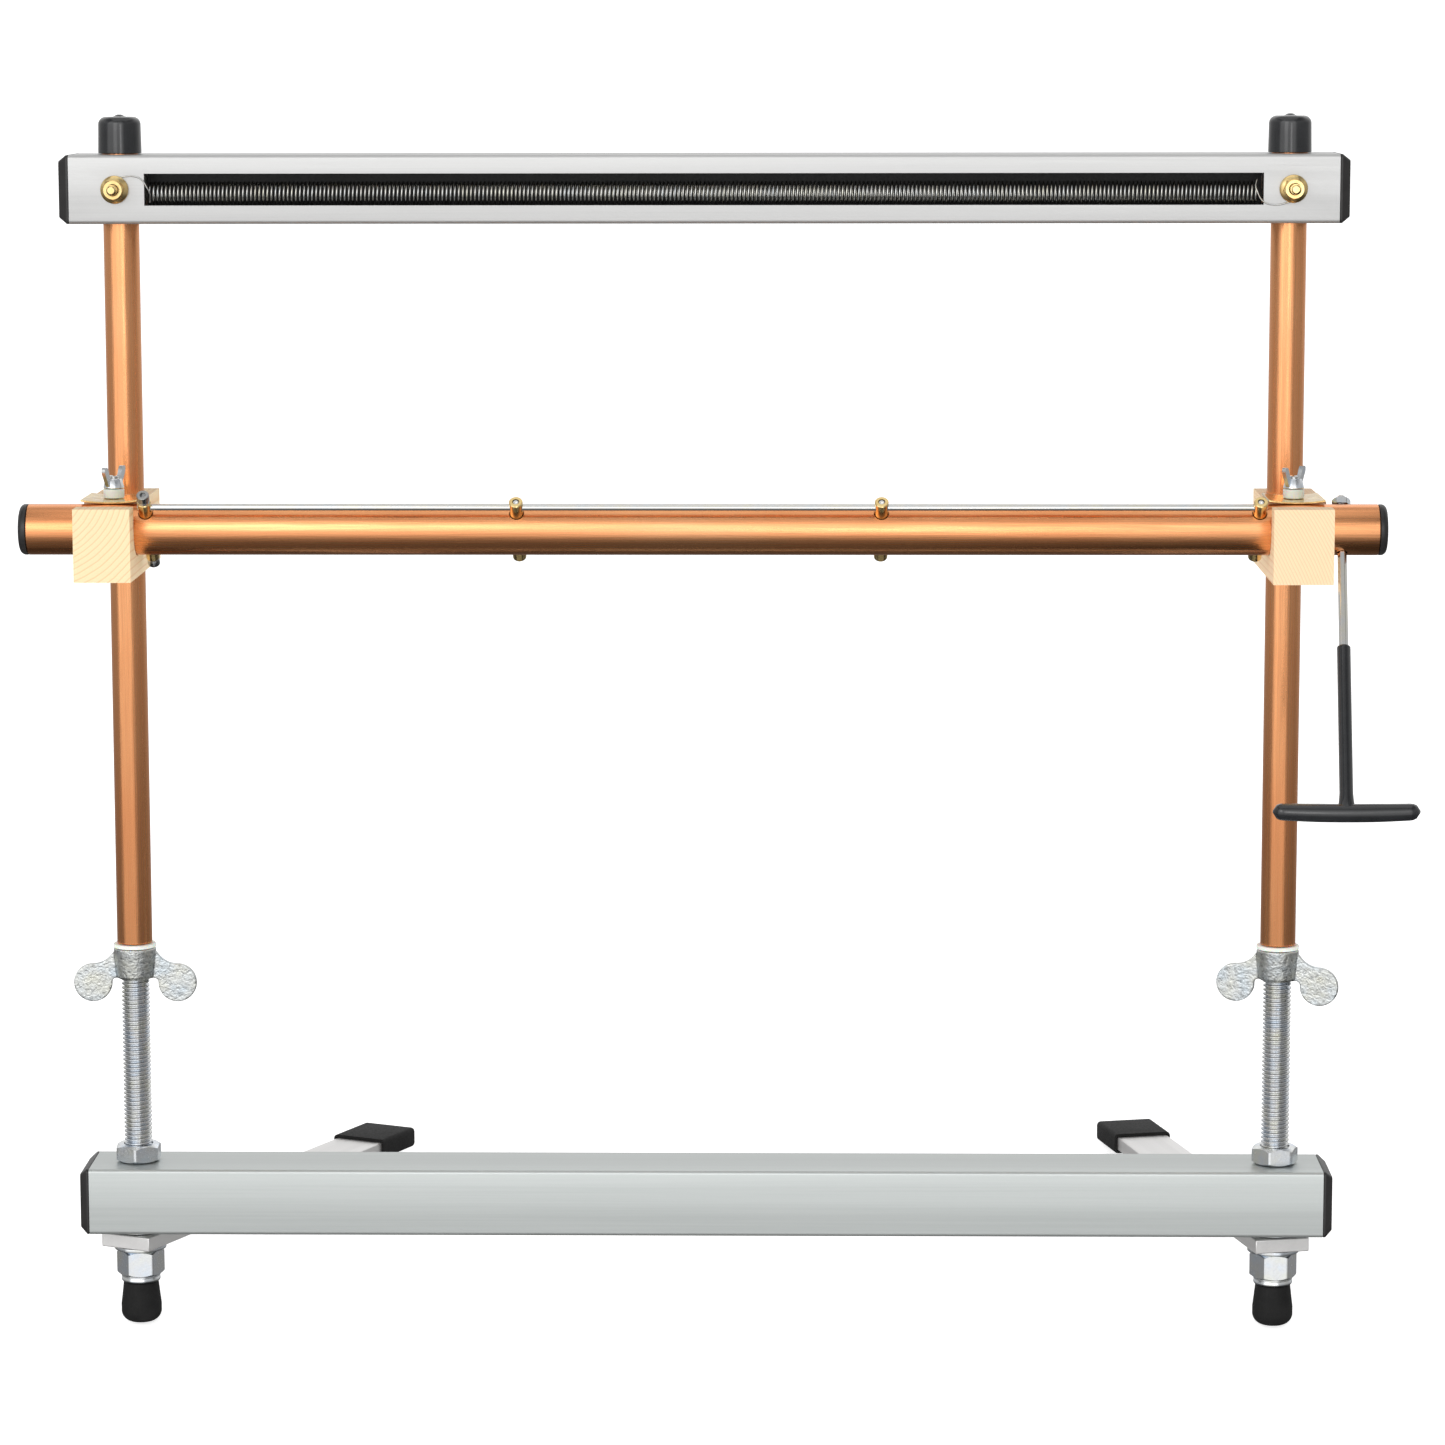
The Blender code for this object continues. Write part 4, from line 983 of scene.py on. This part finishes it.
def height_wing_nut(label, side):
    """Cast wing nut. Remeshed so that hub and wings flow together like a casting."""
    bm = bmesh.new()
    profile = arc((HUB_TOP_R - 0.5 * MM, -0.5 * MM), 0.5 * MM, 90, 0, 3)
    profile += [(HUB_BOTTOM_R, -HUB_H + 1.0 * MM), (HUB_BOTTOM_R - 1.0 * MM, -HUB_H),
                (ROD_HOLE, -HUB_H), (ROD_HOLE, 0)]
    turned(bm, profile, 96, True)
    matrix = at(side * UPRIGHT_X, 0, HUB_Z, (0, 0, WING_TURN[label]))
    nut = finish_piece("height_wing_nut_%s_casting" % label, bm, matrix, CAST,
                       "wing_nut_" + label, "cast_zinc", ("height_wing_nut_" + label,))
    outline = wing_outline(WING_REACH, WING_R, WING_DROP, HUB_H, ROD_HOLE + 0.5 * MM)
    wings = [solid_plate([(flip * x, z) for x, z in outline], WING_T) for flip in (1, -1)]
    cut(nut, wings, "UNION")
    remesh = nut.modifiers.new("casting", "REMESH")
    remesh.mode = "VOXEL"
    remesh.voxel_size = 0.35 * MM
    relax = nut.modifiers.new("soft", "SMOOTH")
    relax.factor = 0.6
    relax.iterations = 6
    return nut


# Legs

def leg_washers(label, side):
    """Flat washers above and below a leg, fixed with the nuts."""
    bm = bmesh.new()
    for low in (LOCK_NUT_Z + GAP, LEG_MID_Z + LEG_T / 2 + GAP):
        profile = rounded_tube_profile(LEG_WASHER_R, ROD_HOLE, low, low + LEG_WASHER_T, 0.2 * MM)
        turned(bm, profile, 96, True)
    finish_piece("leg_washers_" + label, bm, at(side * UPRIGHT_X, 0, 0), ZINC, "base", "zinc_steel")


def leg(label, side):
    matrix = at(side * UPRIGHT_X, 0, LEG_MID_Z, (0, 0, LEG_SPLAY[label]))
    length = LEG_FRONT + LEG_BACK
    middle = (LEG_BACK - LEG_FRONT) / 2
    body = "leg_" + label
    bm = box((LEG_WIDTH, length, LEG_T), (0, middle, 0))
    bar = finish_piece("leg_%s_bar" % label, bm, matrix, LEG_LOOK, body, "aluminium",
                       ("leg_" + label,))
    cut(bar, [cylinder(ROD_HOLE, -10 * MM, 10 * MM, 48)])
    soften(bar, 0.45 * MM)
    width = LEG_WIDTH + 2 * GAP + 2 * LEG_CAP_WALL
    depth = LEG_T + 2 * GAP + 2 * LEG_CAP_WALL
    end = LEG_BACK + GAP + LEG_CAP_WALL
    sections = [
        (end - LEG_CAP_LENGTH, width - 0.6 * MM, depth - 0.6 * MM, 1.7 * MM),
        (end - LEG_CAP_LENGTH + 0.3 * MM, width, depth, 2.0 * MM),
        (end - 2.2 * MM, width, depth, 2.0 * MM),
        (end - 1.2 * MM, width - 0.5 * MM, depth - 0.5 * MM, 1.9 * MM),
        (end - 0.4 * MM, width - 1.5 * MM, depth - 1.5 * MM, 1.6 * MM),
        (end, width - 3.2 * MM, depth - 3.2 * MM, 1.0 * MM),
    ]
    bm = bmesh.new()
    rings = []
    for along, wide, deep, corner in sections:
        rings.append([(x, along, z) for x, z in rounded_rectangle(wide, deep, corner)])
    loft(bm, rings)
    cap = finish_piece("leg_cap_%s_rubber" % label, bm, matrix, RUBBER, body, "black_rubber",
                       ("leg_cap_" + label,), 40.0)
    pocket = box((LEG_WIDTH + 2 * GAP, length, LEG_T + 2 * GAP),
                 (0, LEG_BACK + GAP - length / 2, 0))
    resmooth(cut(cap, [pocket]), 40.0)


# Shed shaft

SHAFT_LAY = (0, math.pi / 2, 0)


def shed_shaft():
    profile = rounded_tube_profile(SHAFT_R, SHAFT_BORE, -SHAFT_HALF, SHAFT_HALF, 0.25 * MM)
    tube = new_turned("shed_shaft_tube", profile, at(0, SHAFT_Y, SHAFT_Z, SHAFT_LAY), COPPER,
                      "shaft", "copper", ("shed_shaft",), 128, True)
    lay = Euler(SHAFT_LAY).to_matrix().inverted()
    holes = []
    corner = HANDLE_ROD_AF / 2 / math.cos(math.radians(30)) + GAP
    crossings = [(x, POST_R + GAP, POST_DIRECTION) for x in POST_X]
    crossings.append((HANDLE_X, corner, HANDLE_DIRECTION))
    for x, radius, direction in crossings:
        hole = cylinder(radius, -20 * MM, 20 * MM, 32)
        hole.transform(Matrix.Translation(lay @ Vector((x, 0, 0))) @ turn_to(lay @ direction))
        holes.append(hole)
    resmooth(cut(tube, holes))


def shaft_cap(label, side):
    edge = 2.4 * MM
    top = SHAFT_CAP_T + GAP
    profile = [(0, top), (SHAFT_R - edge - 2 * MM, top)]
    profile += arc((SHAFT_R - edge, top - edge), edge, 90, 0, 8)
    profile += [(SHAFT_R, GAP + 0.2 * MM), (SHAFT_R - 0.2 * MM, GAP), (SHAFT_BORE - GAP, GAP),
                (SHAFT_BORE - 0.7 * MM, -8 * MM), (0, -8 * MM)]
    new_turned("shaft_cap_%s_plug" % label, profile,
               aimed((side * SHAFT_HALF, SHAFT_Y, SHAFT_Z), (side, 0, 0)), PLASTIC, "shaft",
               "black_plastic", ("shaft_cap_" + label,), 96, False, 40.0)


def on_post(x, distance):
    return Vector((x, SHAFT_Y, SHAFT_Z)) + POST_DIRECTION * distance


def heddle_post(number, x):
    """Brass pin with a drilled end above and below, crossed by the heddle rods."""
    edge = 0.35 * MM
    profile = [(0, POST_HALF), (POST_R - edge, POST_HALF), (POST_R, POST_HALF - edge),
               (POST_R, -POST_HALF + edge), (POST_R - edge, -POST_HALF), (0, -POST_HALF)]
    post = new_turned("heddle_post_%d_pin" % number, profile, aimed(on_post(x, 0), POST_DIRECTION),
                      BRASS, "shaft", "brass", ("heddle_post_%d" % number,), 48)
    solids = []
    depth = POST_HALF - HEDDLE_ROD_REACH
    for end in (1, -1):
        solids.append(cylinder(HEDDLE_ROD_R + GAP, -8 * MM, 8 * MM, 32, "X",
                               (0, 0, end * HEDDLE_ROD_REACH)))
        solids.append(cylinder(1.5 * MM, end * POST_HALF - depth, end * POST_HALF + depth, 32))
    resmooth(cut(post, solids))


def socket_screw(name, x, end, replaced):
    """Cap screw with a hexagon socket over a split washer."""
    seat = POST_HALF + GAP
    matrix = aimed(on_post(x, 0), POST_DIRECTION * end)
    profile = [(0, seat + 4.3 * MM)] + arc((2.35 * MM, seat + 3.95 * MM), 0.35 * MM, 90, 0, 4)
    profile += [(2.7 * MM, seat + 1.1 * MM), (2.5 * MM, seat + 0.95 * MM), (1.2 * MM, seat + 0.95 * MM),
                (1.2 * MM, HEDDLE_ROD_REACH + HEDDLE_ROD_R + GAP),
                (0, HEDDLE_ROD_REACH + HEDDLE_ROD_R + GAP)]
    screw = new_turned(name, profile, matrix, CAP_SCREW, "shaft", "zinc_steel", replaced, 48)
    socket = bmesh.new()
    outline = arc((0, 0), 1.45 * MM, 0, 300, 5)
    loft(socket, [[(px, py, z) for px, py in outline] for z in (seat + 2.4 * MM, seat + 6 * MM)])
    resmooth(cut(screw, [socket]), 25.0)
    bm = bmesh.new()
    washer = rounded_tube_profile(2.75 * MM, 1.6 * MM, seat, seat + 0.85 * MM, 0.12 * MM)
    turned(bm, washer, 48, True)
    finish_piece(name + "_washer", bm, matrix, STEEL, "shaft", "zinc_steel")


def set_screw(number, x):
    low = HEDDLE_ROD_REACH + HEDDLE_ROD_R + GAP
    high = POST_HALF - 0.35 * MM
    profile = [(0, high - 0.9 * MM), (0.62 * MM, high - 0.9 * MM), (0.62 * MM, high),
               (1.1 * MM, high), (1.2 * MM, high - 0.1 * MM), (1.2 * MM, low), (0, low)]
    new_turned("set_screw_%d_socket" % number, profile, aimed(on_post(x, 0), POST_DIRECTION),
               STEEL, "shaft", "zinc_steel", ("set_screw_%d" % number,), 32)


def heddle_rod(name, end):
    r = HEDDLE_ROD_R
    edge = 0.7 * MM
    profile = [(0, HEDDLE_ROD_HALF)]
    profile += arc((r - edge, HEDDLE_ROD_HALF - edge), edge, 90, 0, 5)
    profile += arc((r - edge, -HEDDLE_ROD_HALF + edge), edge, 0, -90, 5)
    profile += [(0, -HEDDLE_ROD_HALF)]
    place = on_post(0, end * HEDDLE_ROD_REACH)
    new_turned(name + "_wire", profile, at(*place, SHAFT_LAY), STEEL, "shaft", "zinc_steel",
               (name,), 32, False, 50.0)


def handle():
    """Hexagon rod with a dipped T-grip, and the nut that holds it in the shaft."""
    matrix = aimed(HANDLE_ORIGIN, HANDLE_DIRECTION)
    rod_end = HANDLE_REACH - CROSSBAR_R - 2 * MM
    bm = bmesh.new()
    corner = HANDLE_ROD_AF / 2 / math.cos(math.radians(30))
    outline = arc((0, 0), corner, 0, 300, 5)
    small = arc((0, 0), corner * 0.8, 0, 300, 5)
    loft(bm, [[(x, y, z) for x, y in shape] for shape, z in (
        (small, -16.0 * MM), (outline, -15.6 * MM), (outline, rod_end))])
    rod = finish_piece("handle_rod_hex", bm, matrix, STEEL, "shaft", "zinc_steel", ("handle_rod",))
    soften(rod, 0.25 * MM, 2, 30.0)
    inverse = matrix.inverted()
    cross_x = (inverse.to_3x3() @ (LOOM.to_3x3() @ Vector((1, 0, 0)))).normalized()
    bm = bmesh.new()
    sleeve = arc((GRIP_R - 0.9 * MM, GRIP_START + 0.9 * MM), 0.9 * MM, -90, 0, 5)
    profile = [(corner + GAP, GRIP_START)] + sleeve
    profile += [(GRIP_R, HANDLE_REACH - 9 * MM), (GRIP_R + 0.25 * MM, HANDLE_REACH - 6 * MM),
                (GRIP_R + 0.7 * MM, HANDLE_REACH - 2 * MM), (GRIP_R, HANDLE_REACH),
                (0, HANDLE_REACH), (0, rod_end + GAP), (corner + GAP, rod_end + GAP)]
    turned(bm, profile, 48, True)
    grip = finish_piece("handle_grip_vinyl", bm, matrix, VINYL, "shaft", "black_vinyl",
                        ("handle_grip",), 50.0)
    bar = bmesh.new()
    rings = []
    over = Vector((0, 0, 1))
    side = cross_x.cross(over).normalized()
    steps = 40
    for i in range(steps + 1):
        t = -1 + 2 * i / steps
        point = cross_x * t * (CROSSBAR_HALF - 0.05 * MM)
        point = point + Vector((0, 0, HANDLE_REACH - CROSSBAR_DROOP * t * t))
        tip = max(0.0, 1 - abs(t)) * CROSSBAR_HALF
        radius = CROSSBAR_R
        if tip <= CROSSBAR_R:
            radius *= math.sqrt(max(0.02, 1 - (1 - tip / CROSSBAR_R) ** 2))
        radius *= 0.90 + 0.10 * min(1.0, (tip / CROSSBAR_HALF) * 1.6)
        rings.append([point + (side * math.cos(a) + over * math.sin(a)) * radius
                      for a in (2 * math.pi * k / 32 for k in range(32))])
    loft(bar, rings)
    cut(grip, [bar], "UNION")
    resmooth(grip, 50.0)
    bm = bmesh.new()
    seat = SHAFT_R + GAP
    hexagon(bm, 7.2 * MM, seat, seat + 3.0 * MM, corner + GAP, 0.0, True, False)
    finish_piece("handle_nut_hex", bm, aimed(HANDLE_ORIGIN, -HANDLE_DIRECTION), ZINC, "shaft",
                 "zinc_steel", ("handle_nut",), 20.0)


# Clips and clamps

def clip(label, side):
    x = side * UPRIGHT_X
    middle_y = (CLIP_FRONT + CLIP_BACK) / 2
    middle_z = CLIP_TOP - CLIP_HEIGHT[label] / 2
    shift = CLIP_SHIFT[label]
    bm = box((CLIP_WIDTH[label], CLIP_BACK - CLIP_FRONT, CLIP_HEIGHT[label]))
    block = finish_piece("clip_%s_block" % label, bm, at(x + shift, middle_y, middle_z), MAPLE[label],
                         "carriage", "maple", ("clip_" + label,))
    reach = CLIP_WIDTH[label]
    trough_r = SHAFT_R + GAP
    shaft_at = (0, SHAFT_Y - middle_y, SHAFT_Z - middle_z)
    mouth = box((2 * reach, 2 * trough_r, 2 * trough_r),
                (0, shaft_at[1], shaft_at[2] + trough_r))
    cutters = [
        cylinder(trough_r, -reach, reach, 96, "X", shaft_at),
        mouth,
        cylinder(UPRIGHT_R + GAP, -60 * MM, 60 * MM, 64, "Z", (-shift, -middle_y, 0)),
        cylinder(CLAMP_BOLT_R + GAP, -60 * MM, 60 * MM, 32, "Z", (-shift, CLAMP_Y - middle_y, 0)),
    ]
    cut(block, cutters)
    resmooth(block, 25.0)
    soften(block, 1.6 * MM, 4, 40.0)


def clamp(label, side):
    x = side * UPRIGHT_X
    low = CLIP_TOP - CLIP_HEIGHT[label] - GAP
    high = SMALL_NUT_Z + BOLT_TIP
    bm = bmesh.new()
    profile = [(0, low + 3 * MM), (CLAMP_BOLT_R * 0.97, low + 3 * MM), (CLAMP_BOLT_R * 0.97, low),
               (5.6 * MM, low), (5.4 * MM, low - 0.7 * MM), (4.8 * MM, low - 1.4 * MM),
               (3.6 * MM, low - 2.1 * MM), (2.0 * MM, low - 2.45 * MM), (0, low - 2.5 * MM)]
    turned(bm, profile, 48)
    threaded(bm, CLAMP_BOLT_R, 0.38 * MM, 0.9 * MM, low + 2 * MM, high - 0.3 * MM, 32)
    turned(bm, [(0, high), (CLAMP_BOLT_R - 0.8 * MM, high), (CLAMP_BOLT_R - 0.4 * MM, high - 0.35 * MM),
                (0, high - 0.35 * MM)], 32)
    finish_piece("clamp_bolt_%s_thread" % label, bm, at(x, CLAMP_Y, 0), STEEL, "carriage",
                 "zinc_steel", ("clamp_bolt_" + label,), 60.0)
    clamp_plate(label, x)
    profile = rounded_tube_profile(SPACER_R, CLAMP_BOLT_R + GAP, SPACER_Z, SPACER_Z + SPACER_T,
                                   0.3 * MM)
    new_turned("clamp_spacer_%s_ring" % label, profile, at(x, CLAMP_Y, 0), NYLON, "carriage",
               "nylon", ("clamp_spacer_" + label,), 64, True)
    small_wing_nut(label, x)


def clamp_plate(label, x):
    """Thin brass strap, bowed so that its two sides stand up a little."""
    width, depth, sheet = PLATE_SIZE
    steps = 24
    lower = []
    for i in range(steps + 1):
        t = -1 + 2 * i / steps
        lower.append((t * width / 2, PLATE_BOW * t * t))
    outline = lower + [(px, pz + sheet) for px, pz in reversed(lower)]
    bm = bmesh.new()
    loft(bm, [[(px, py, pz) for px, pz in outline] for py in (-depth / 2, depth / 2)])
    plate = finish_piece("clamp_plate_%s_strap" % label, bm, at(x, CLAMP_Y, PLATE_Z), BRASS,
                         "clamp_plate_" + label, "brass", ("clamp_plate_" + label,))
    resmooth(cut(plate, [cylinder(CLAMP_BOLT_R + GAP, -5 * MM, 5 * MM, 32)]))
    soften(plate, 0.15 * MM, 2, 50.0)


def small_wing_nut(label, x):
    bore = CLAMP_BOLT_R + GAP
    hub = SMALL_HUB_H
    profile = [(3.3 * MM, hub), (3.7 * MM, hub - 0.4 * MM), (4.6 * MM, 0.3 * MM), (4.4 * MM, 0),
               (bore, 0), (bore, hub)]
    matrix = at(x, CLAMP_Y, SMALL_NUT_Z, (0, 0, SMALL_TURN[label]))
    nut = new_turned("clamp_wing_nut_%s_casting" % label, profile, matrix, ZINC,
                     "clamp_nut_" + label, "zinc_steel", ("clamp_wing_nut_" + label,), 64, True)
    wings = []
    for flip in (1, -1):
        outline = [
            (bore + 0.2 * MM, 0.4 * MM), (4.8 * MM, 0.8 * MM), (5.6 * MM, 1.8 * MM),
            (6.2 * MM, 3.2 * MM), (7.0 * MM, 4.9 * MM), (7.8 * MM, 6.4 * MM), (8.1 * MM, 7.4 * MM),
            (8.2 * MM, 8.4 * MM), (8.0 * MM, 9.0 * MM), (7.6 * MM, 9.4 * MM), (7.1 * MM, 9.5 * MM),
            (6.6 * MM, 9.45 * MM), (6.1 * MM, 9.2 * MM), (5.7 * MM, 8.8 * MM), (5.1 * MM, 7.4 * MM),
            (4.6 * MM, 6.0 * MM), (bore + 0.8 * MM, hub - 0.3 * MM), (bore + 0.2 * MM, hub - 0.5 * MM),
        ]
        wings.append(solid_plate([(flip * px, pz) for px, pz in outline], 1.9 * MM))
    cut(nut, wings, "UNION")
    resmooth(nut, 35.0)
    soften(nut, 0.25 * MM, 2, 40.0)


# Studio and camera

def world():
    """White to the camera; to the pieces, a studio that darkens below, to the sides and behind.

    The room's light is a product of two ramps: by height, and by bearing from the front.
    """
    sky = bpy.data.worlds.new("studio")
    bpy.context.scene.world = sky
    sky.use_nodes = True
    sky.node_tree.nodes.clear()
    g = Graph(sky.node_tree)
    direction = g.add("SeparateXYZ", {0: g.add("TexCoord", {}, "Generated")}).node.outputs
    height = g.ramp(g.remap(direction[2], -1, 1, 0, 1), [
        (0.0, 0.055), (0.128, 0.06), (0.273, 0.14), (0.362, 0.35), (0.430, 0.54), (0.578, 0.66),
        (0.742, 0.97), (0.866, 0.47), (0.960, 0.24), (1.0, 0.25)])
    forward = g.math("MULTIPLY", direction[1], -1.0)
    bearing = g.math("ARCTAN2", direction[0], forward)
    around = g.ramp(g.remap(bearing, -math.pi, math.pi, 0, 1), [
        (0.0, 0.70), (0.16, 0.40), (0.318, 0.30), (0.345, 1.0), (0.472, 0.88), (0.556, 1.0),
        (0.590, 0.30), (0.778, 0.30), (0.86, 0.50), (1.0, 0.70)])
    light = g.mix(1.0, height, around, "MULTIPLY")
    room = g.add("Background", {"Color": light, "Strength": ROOM_STRENGTH})
    seen = g.add("Background", {"Color": (1, 1, 1, 1), "Strength": 1.0})
    by_camera = g.add("LightPath", {}, "Is Camera Ray")
    g.add("OutputWorld", {"Surface": g.add("MixShader", {0: by_camera, 1: room, 2: seen})}, None)


def softbox(name, location, target, size, power, color=(1, 1, 1)):
    light = bpy.data.lights.new(name, "AREA")
    light.shape = "RECTANGLE"
    light.size = size[0]
    light.size_y = size[1]
    light.energy = power
    light.color = color
    obj = bpy.data.objects.new(name, light)
    bpy.context.scene.collection.objects.link(obj)
    obj.location = location
    aim = Vector(target) - Vector(location)
    obj.rotation_euler = aim.to_track_quat("-Z", "Y").to_euler()
    return obj


def floor():
    bm = bmesh.new()
    half = FLOOR_HALF
    corners = ((-half, -half), (half, -half), (half, half), (-half, half))
    bm.faces.new([bm.verts.new((x, y, 0)) for x, y in corners])
    mesh = bpy.data.meshes.new("floor")
    bm.to_mesh(mesh)
    bm.free()
    obj = bpy.data.objects.new("floor", mesh)
    bpy.context.scene.collection.objects.link(obj)
    n = Nodes("floor_paper")
    cloud = n.noise(3.0, 3.0, 0.5)
    n.color(n.ramp(cloud, [(0.3, (0.93, 0.93, 0.93)), (0.7, (0.95, 0.95, 0.95))]))
    n.set(Roughness=0.9, Specular_IOR_Level=0.1)
    n.shader.inputs["Emission Color"].default_value = (1, 1, 1, 1)
    n.shader.inputs["Emission Strength"].default_value = FLOOR_GLOW
    mesh.materials.append(n.mat)
    obj.location = (0, 0, CAD_BOX[0].z - 0.2 * MM)
    obj.visible_glossy = False


def camera():
    """Straight on, a little above, from just right of the middle."""
    yaw, pitch, roll = (math.radians(a) for a in CAMERA_TURN)
    cy, sy = math.cos(yaw), math.sin(yaw)
    cp, sp = math.cos(pitch), math.sin(pitch)
    cr, sr = math.cos(roll), math.sin(roll)
    forward = Vector((cp * sy, cp * cy, -sp))
    level = Vector((cy, -sy, 0))
    above = Vector((sp * sy, sp * cy, cp))
    right = level * cr - above * sr
    up = level * sr + above * cr
    turn = Matrix((right, up, -forward)).transposed().to_4x4()
    data = bpy.data.cameras.new("camera")
    data.sensor_width = SENSOR
    data.lens = SENSOR * FOCAL_PX / FRAME_PX
    data.clip_start = 0.05
    data.clip_end = 50.0
    obj = bpy.data.objects.new("camera", data)
    bpy.context.scene.collection.objects.link(obj)
    obj.matrix_world = LOOM @ Matrix.Translation(CAMERA_PLACE) @ turn
    bpy.context.scene.camera = obj


def studio():
    bpy.context.scene.view_settings.view_transform = "Standard"
    world()
    floor()
    softbox("key", (-0.9, -2.3, 1.5), (0, 0, 0.3), (0.9, 1.4), 5)
    softbox("strip", (0.35, -2.6, 0.95), (0, 0, 0.3), (0.35, 0.9), 2)
    softbox("top", (0.0, 0.1, 2.2), (0, 0, 0.2), (2.0, 1.6), 6)
    camera()


def main():
    bottom_beam()
    top_beam()
    coil_backing()
    warp_coil()
    for label, side in SIDES.items():
        beam_cap("bottom_beam_cap_" + label, side, -BEAM_HEIGHT / 2, "base",
                 CAP_HEAD["bottom"])
        beam_cap("top_beam_cap_" + label, side, BEAM_MID_Z, "upper_frame", CAP_HEAD["top"])
        beam_fasteners(label, side)
        lead_wire(label)
        upright(label, side)
        upright_cap(label, side)
        threaded_rod(label, side)
        jam_nut(label, side)
        lock_nut(label, side)
        foot(label, side)
        nylon_washer(label, side)
        height_wing_nut(label, side)
        leg_washers(label, side)
        leg(label, side)
        shaft_cap(label, side)
        clip(label, side)
        clamp(label, side)
    shed_shaft()
    for number, x in enumerate(POST_X, 1):
        heddle_post(number, x)
    for number, x in enumerate(POST_X[1:], 2):
        set_screw(number, x)
    socket_screw("post_screw_upper_cap", POST_X[0], 1, ("post_screw_upper",))
    socket_screw("post_screw_lower_cap", POST_X[0], -1, ("post_screw_lower",))
    heddle_rod("heddle_rod_front", 1)
    heddle_rod("heddle_rod_back", -1)
    handle()
    mount_pieces()
    studio()


main()
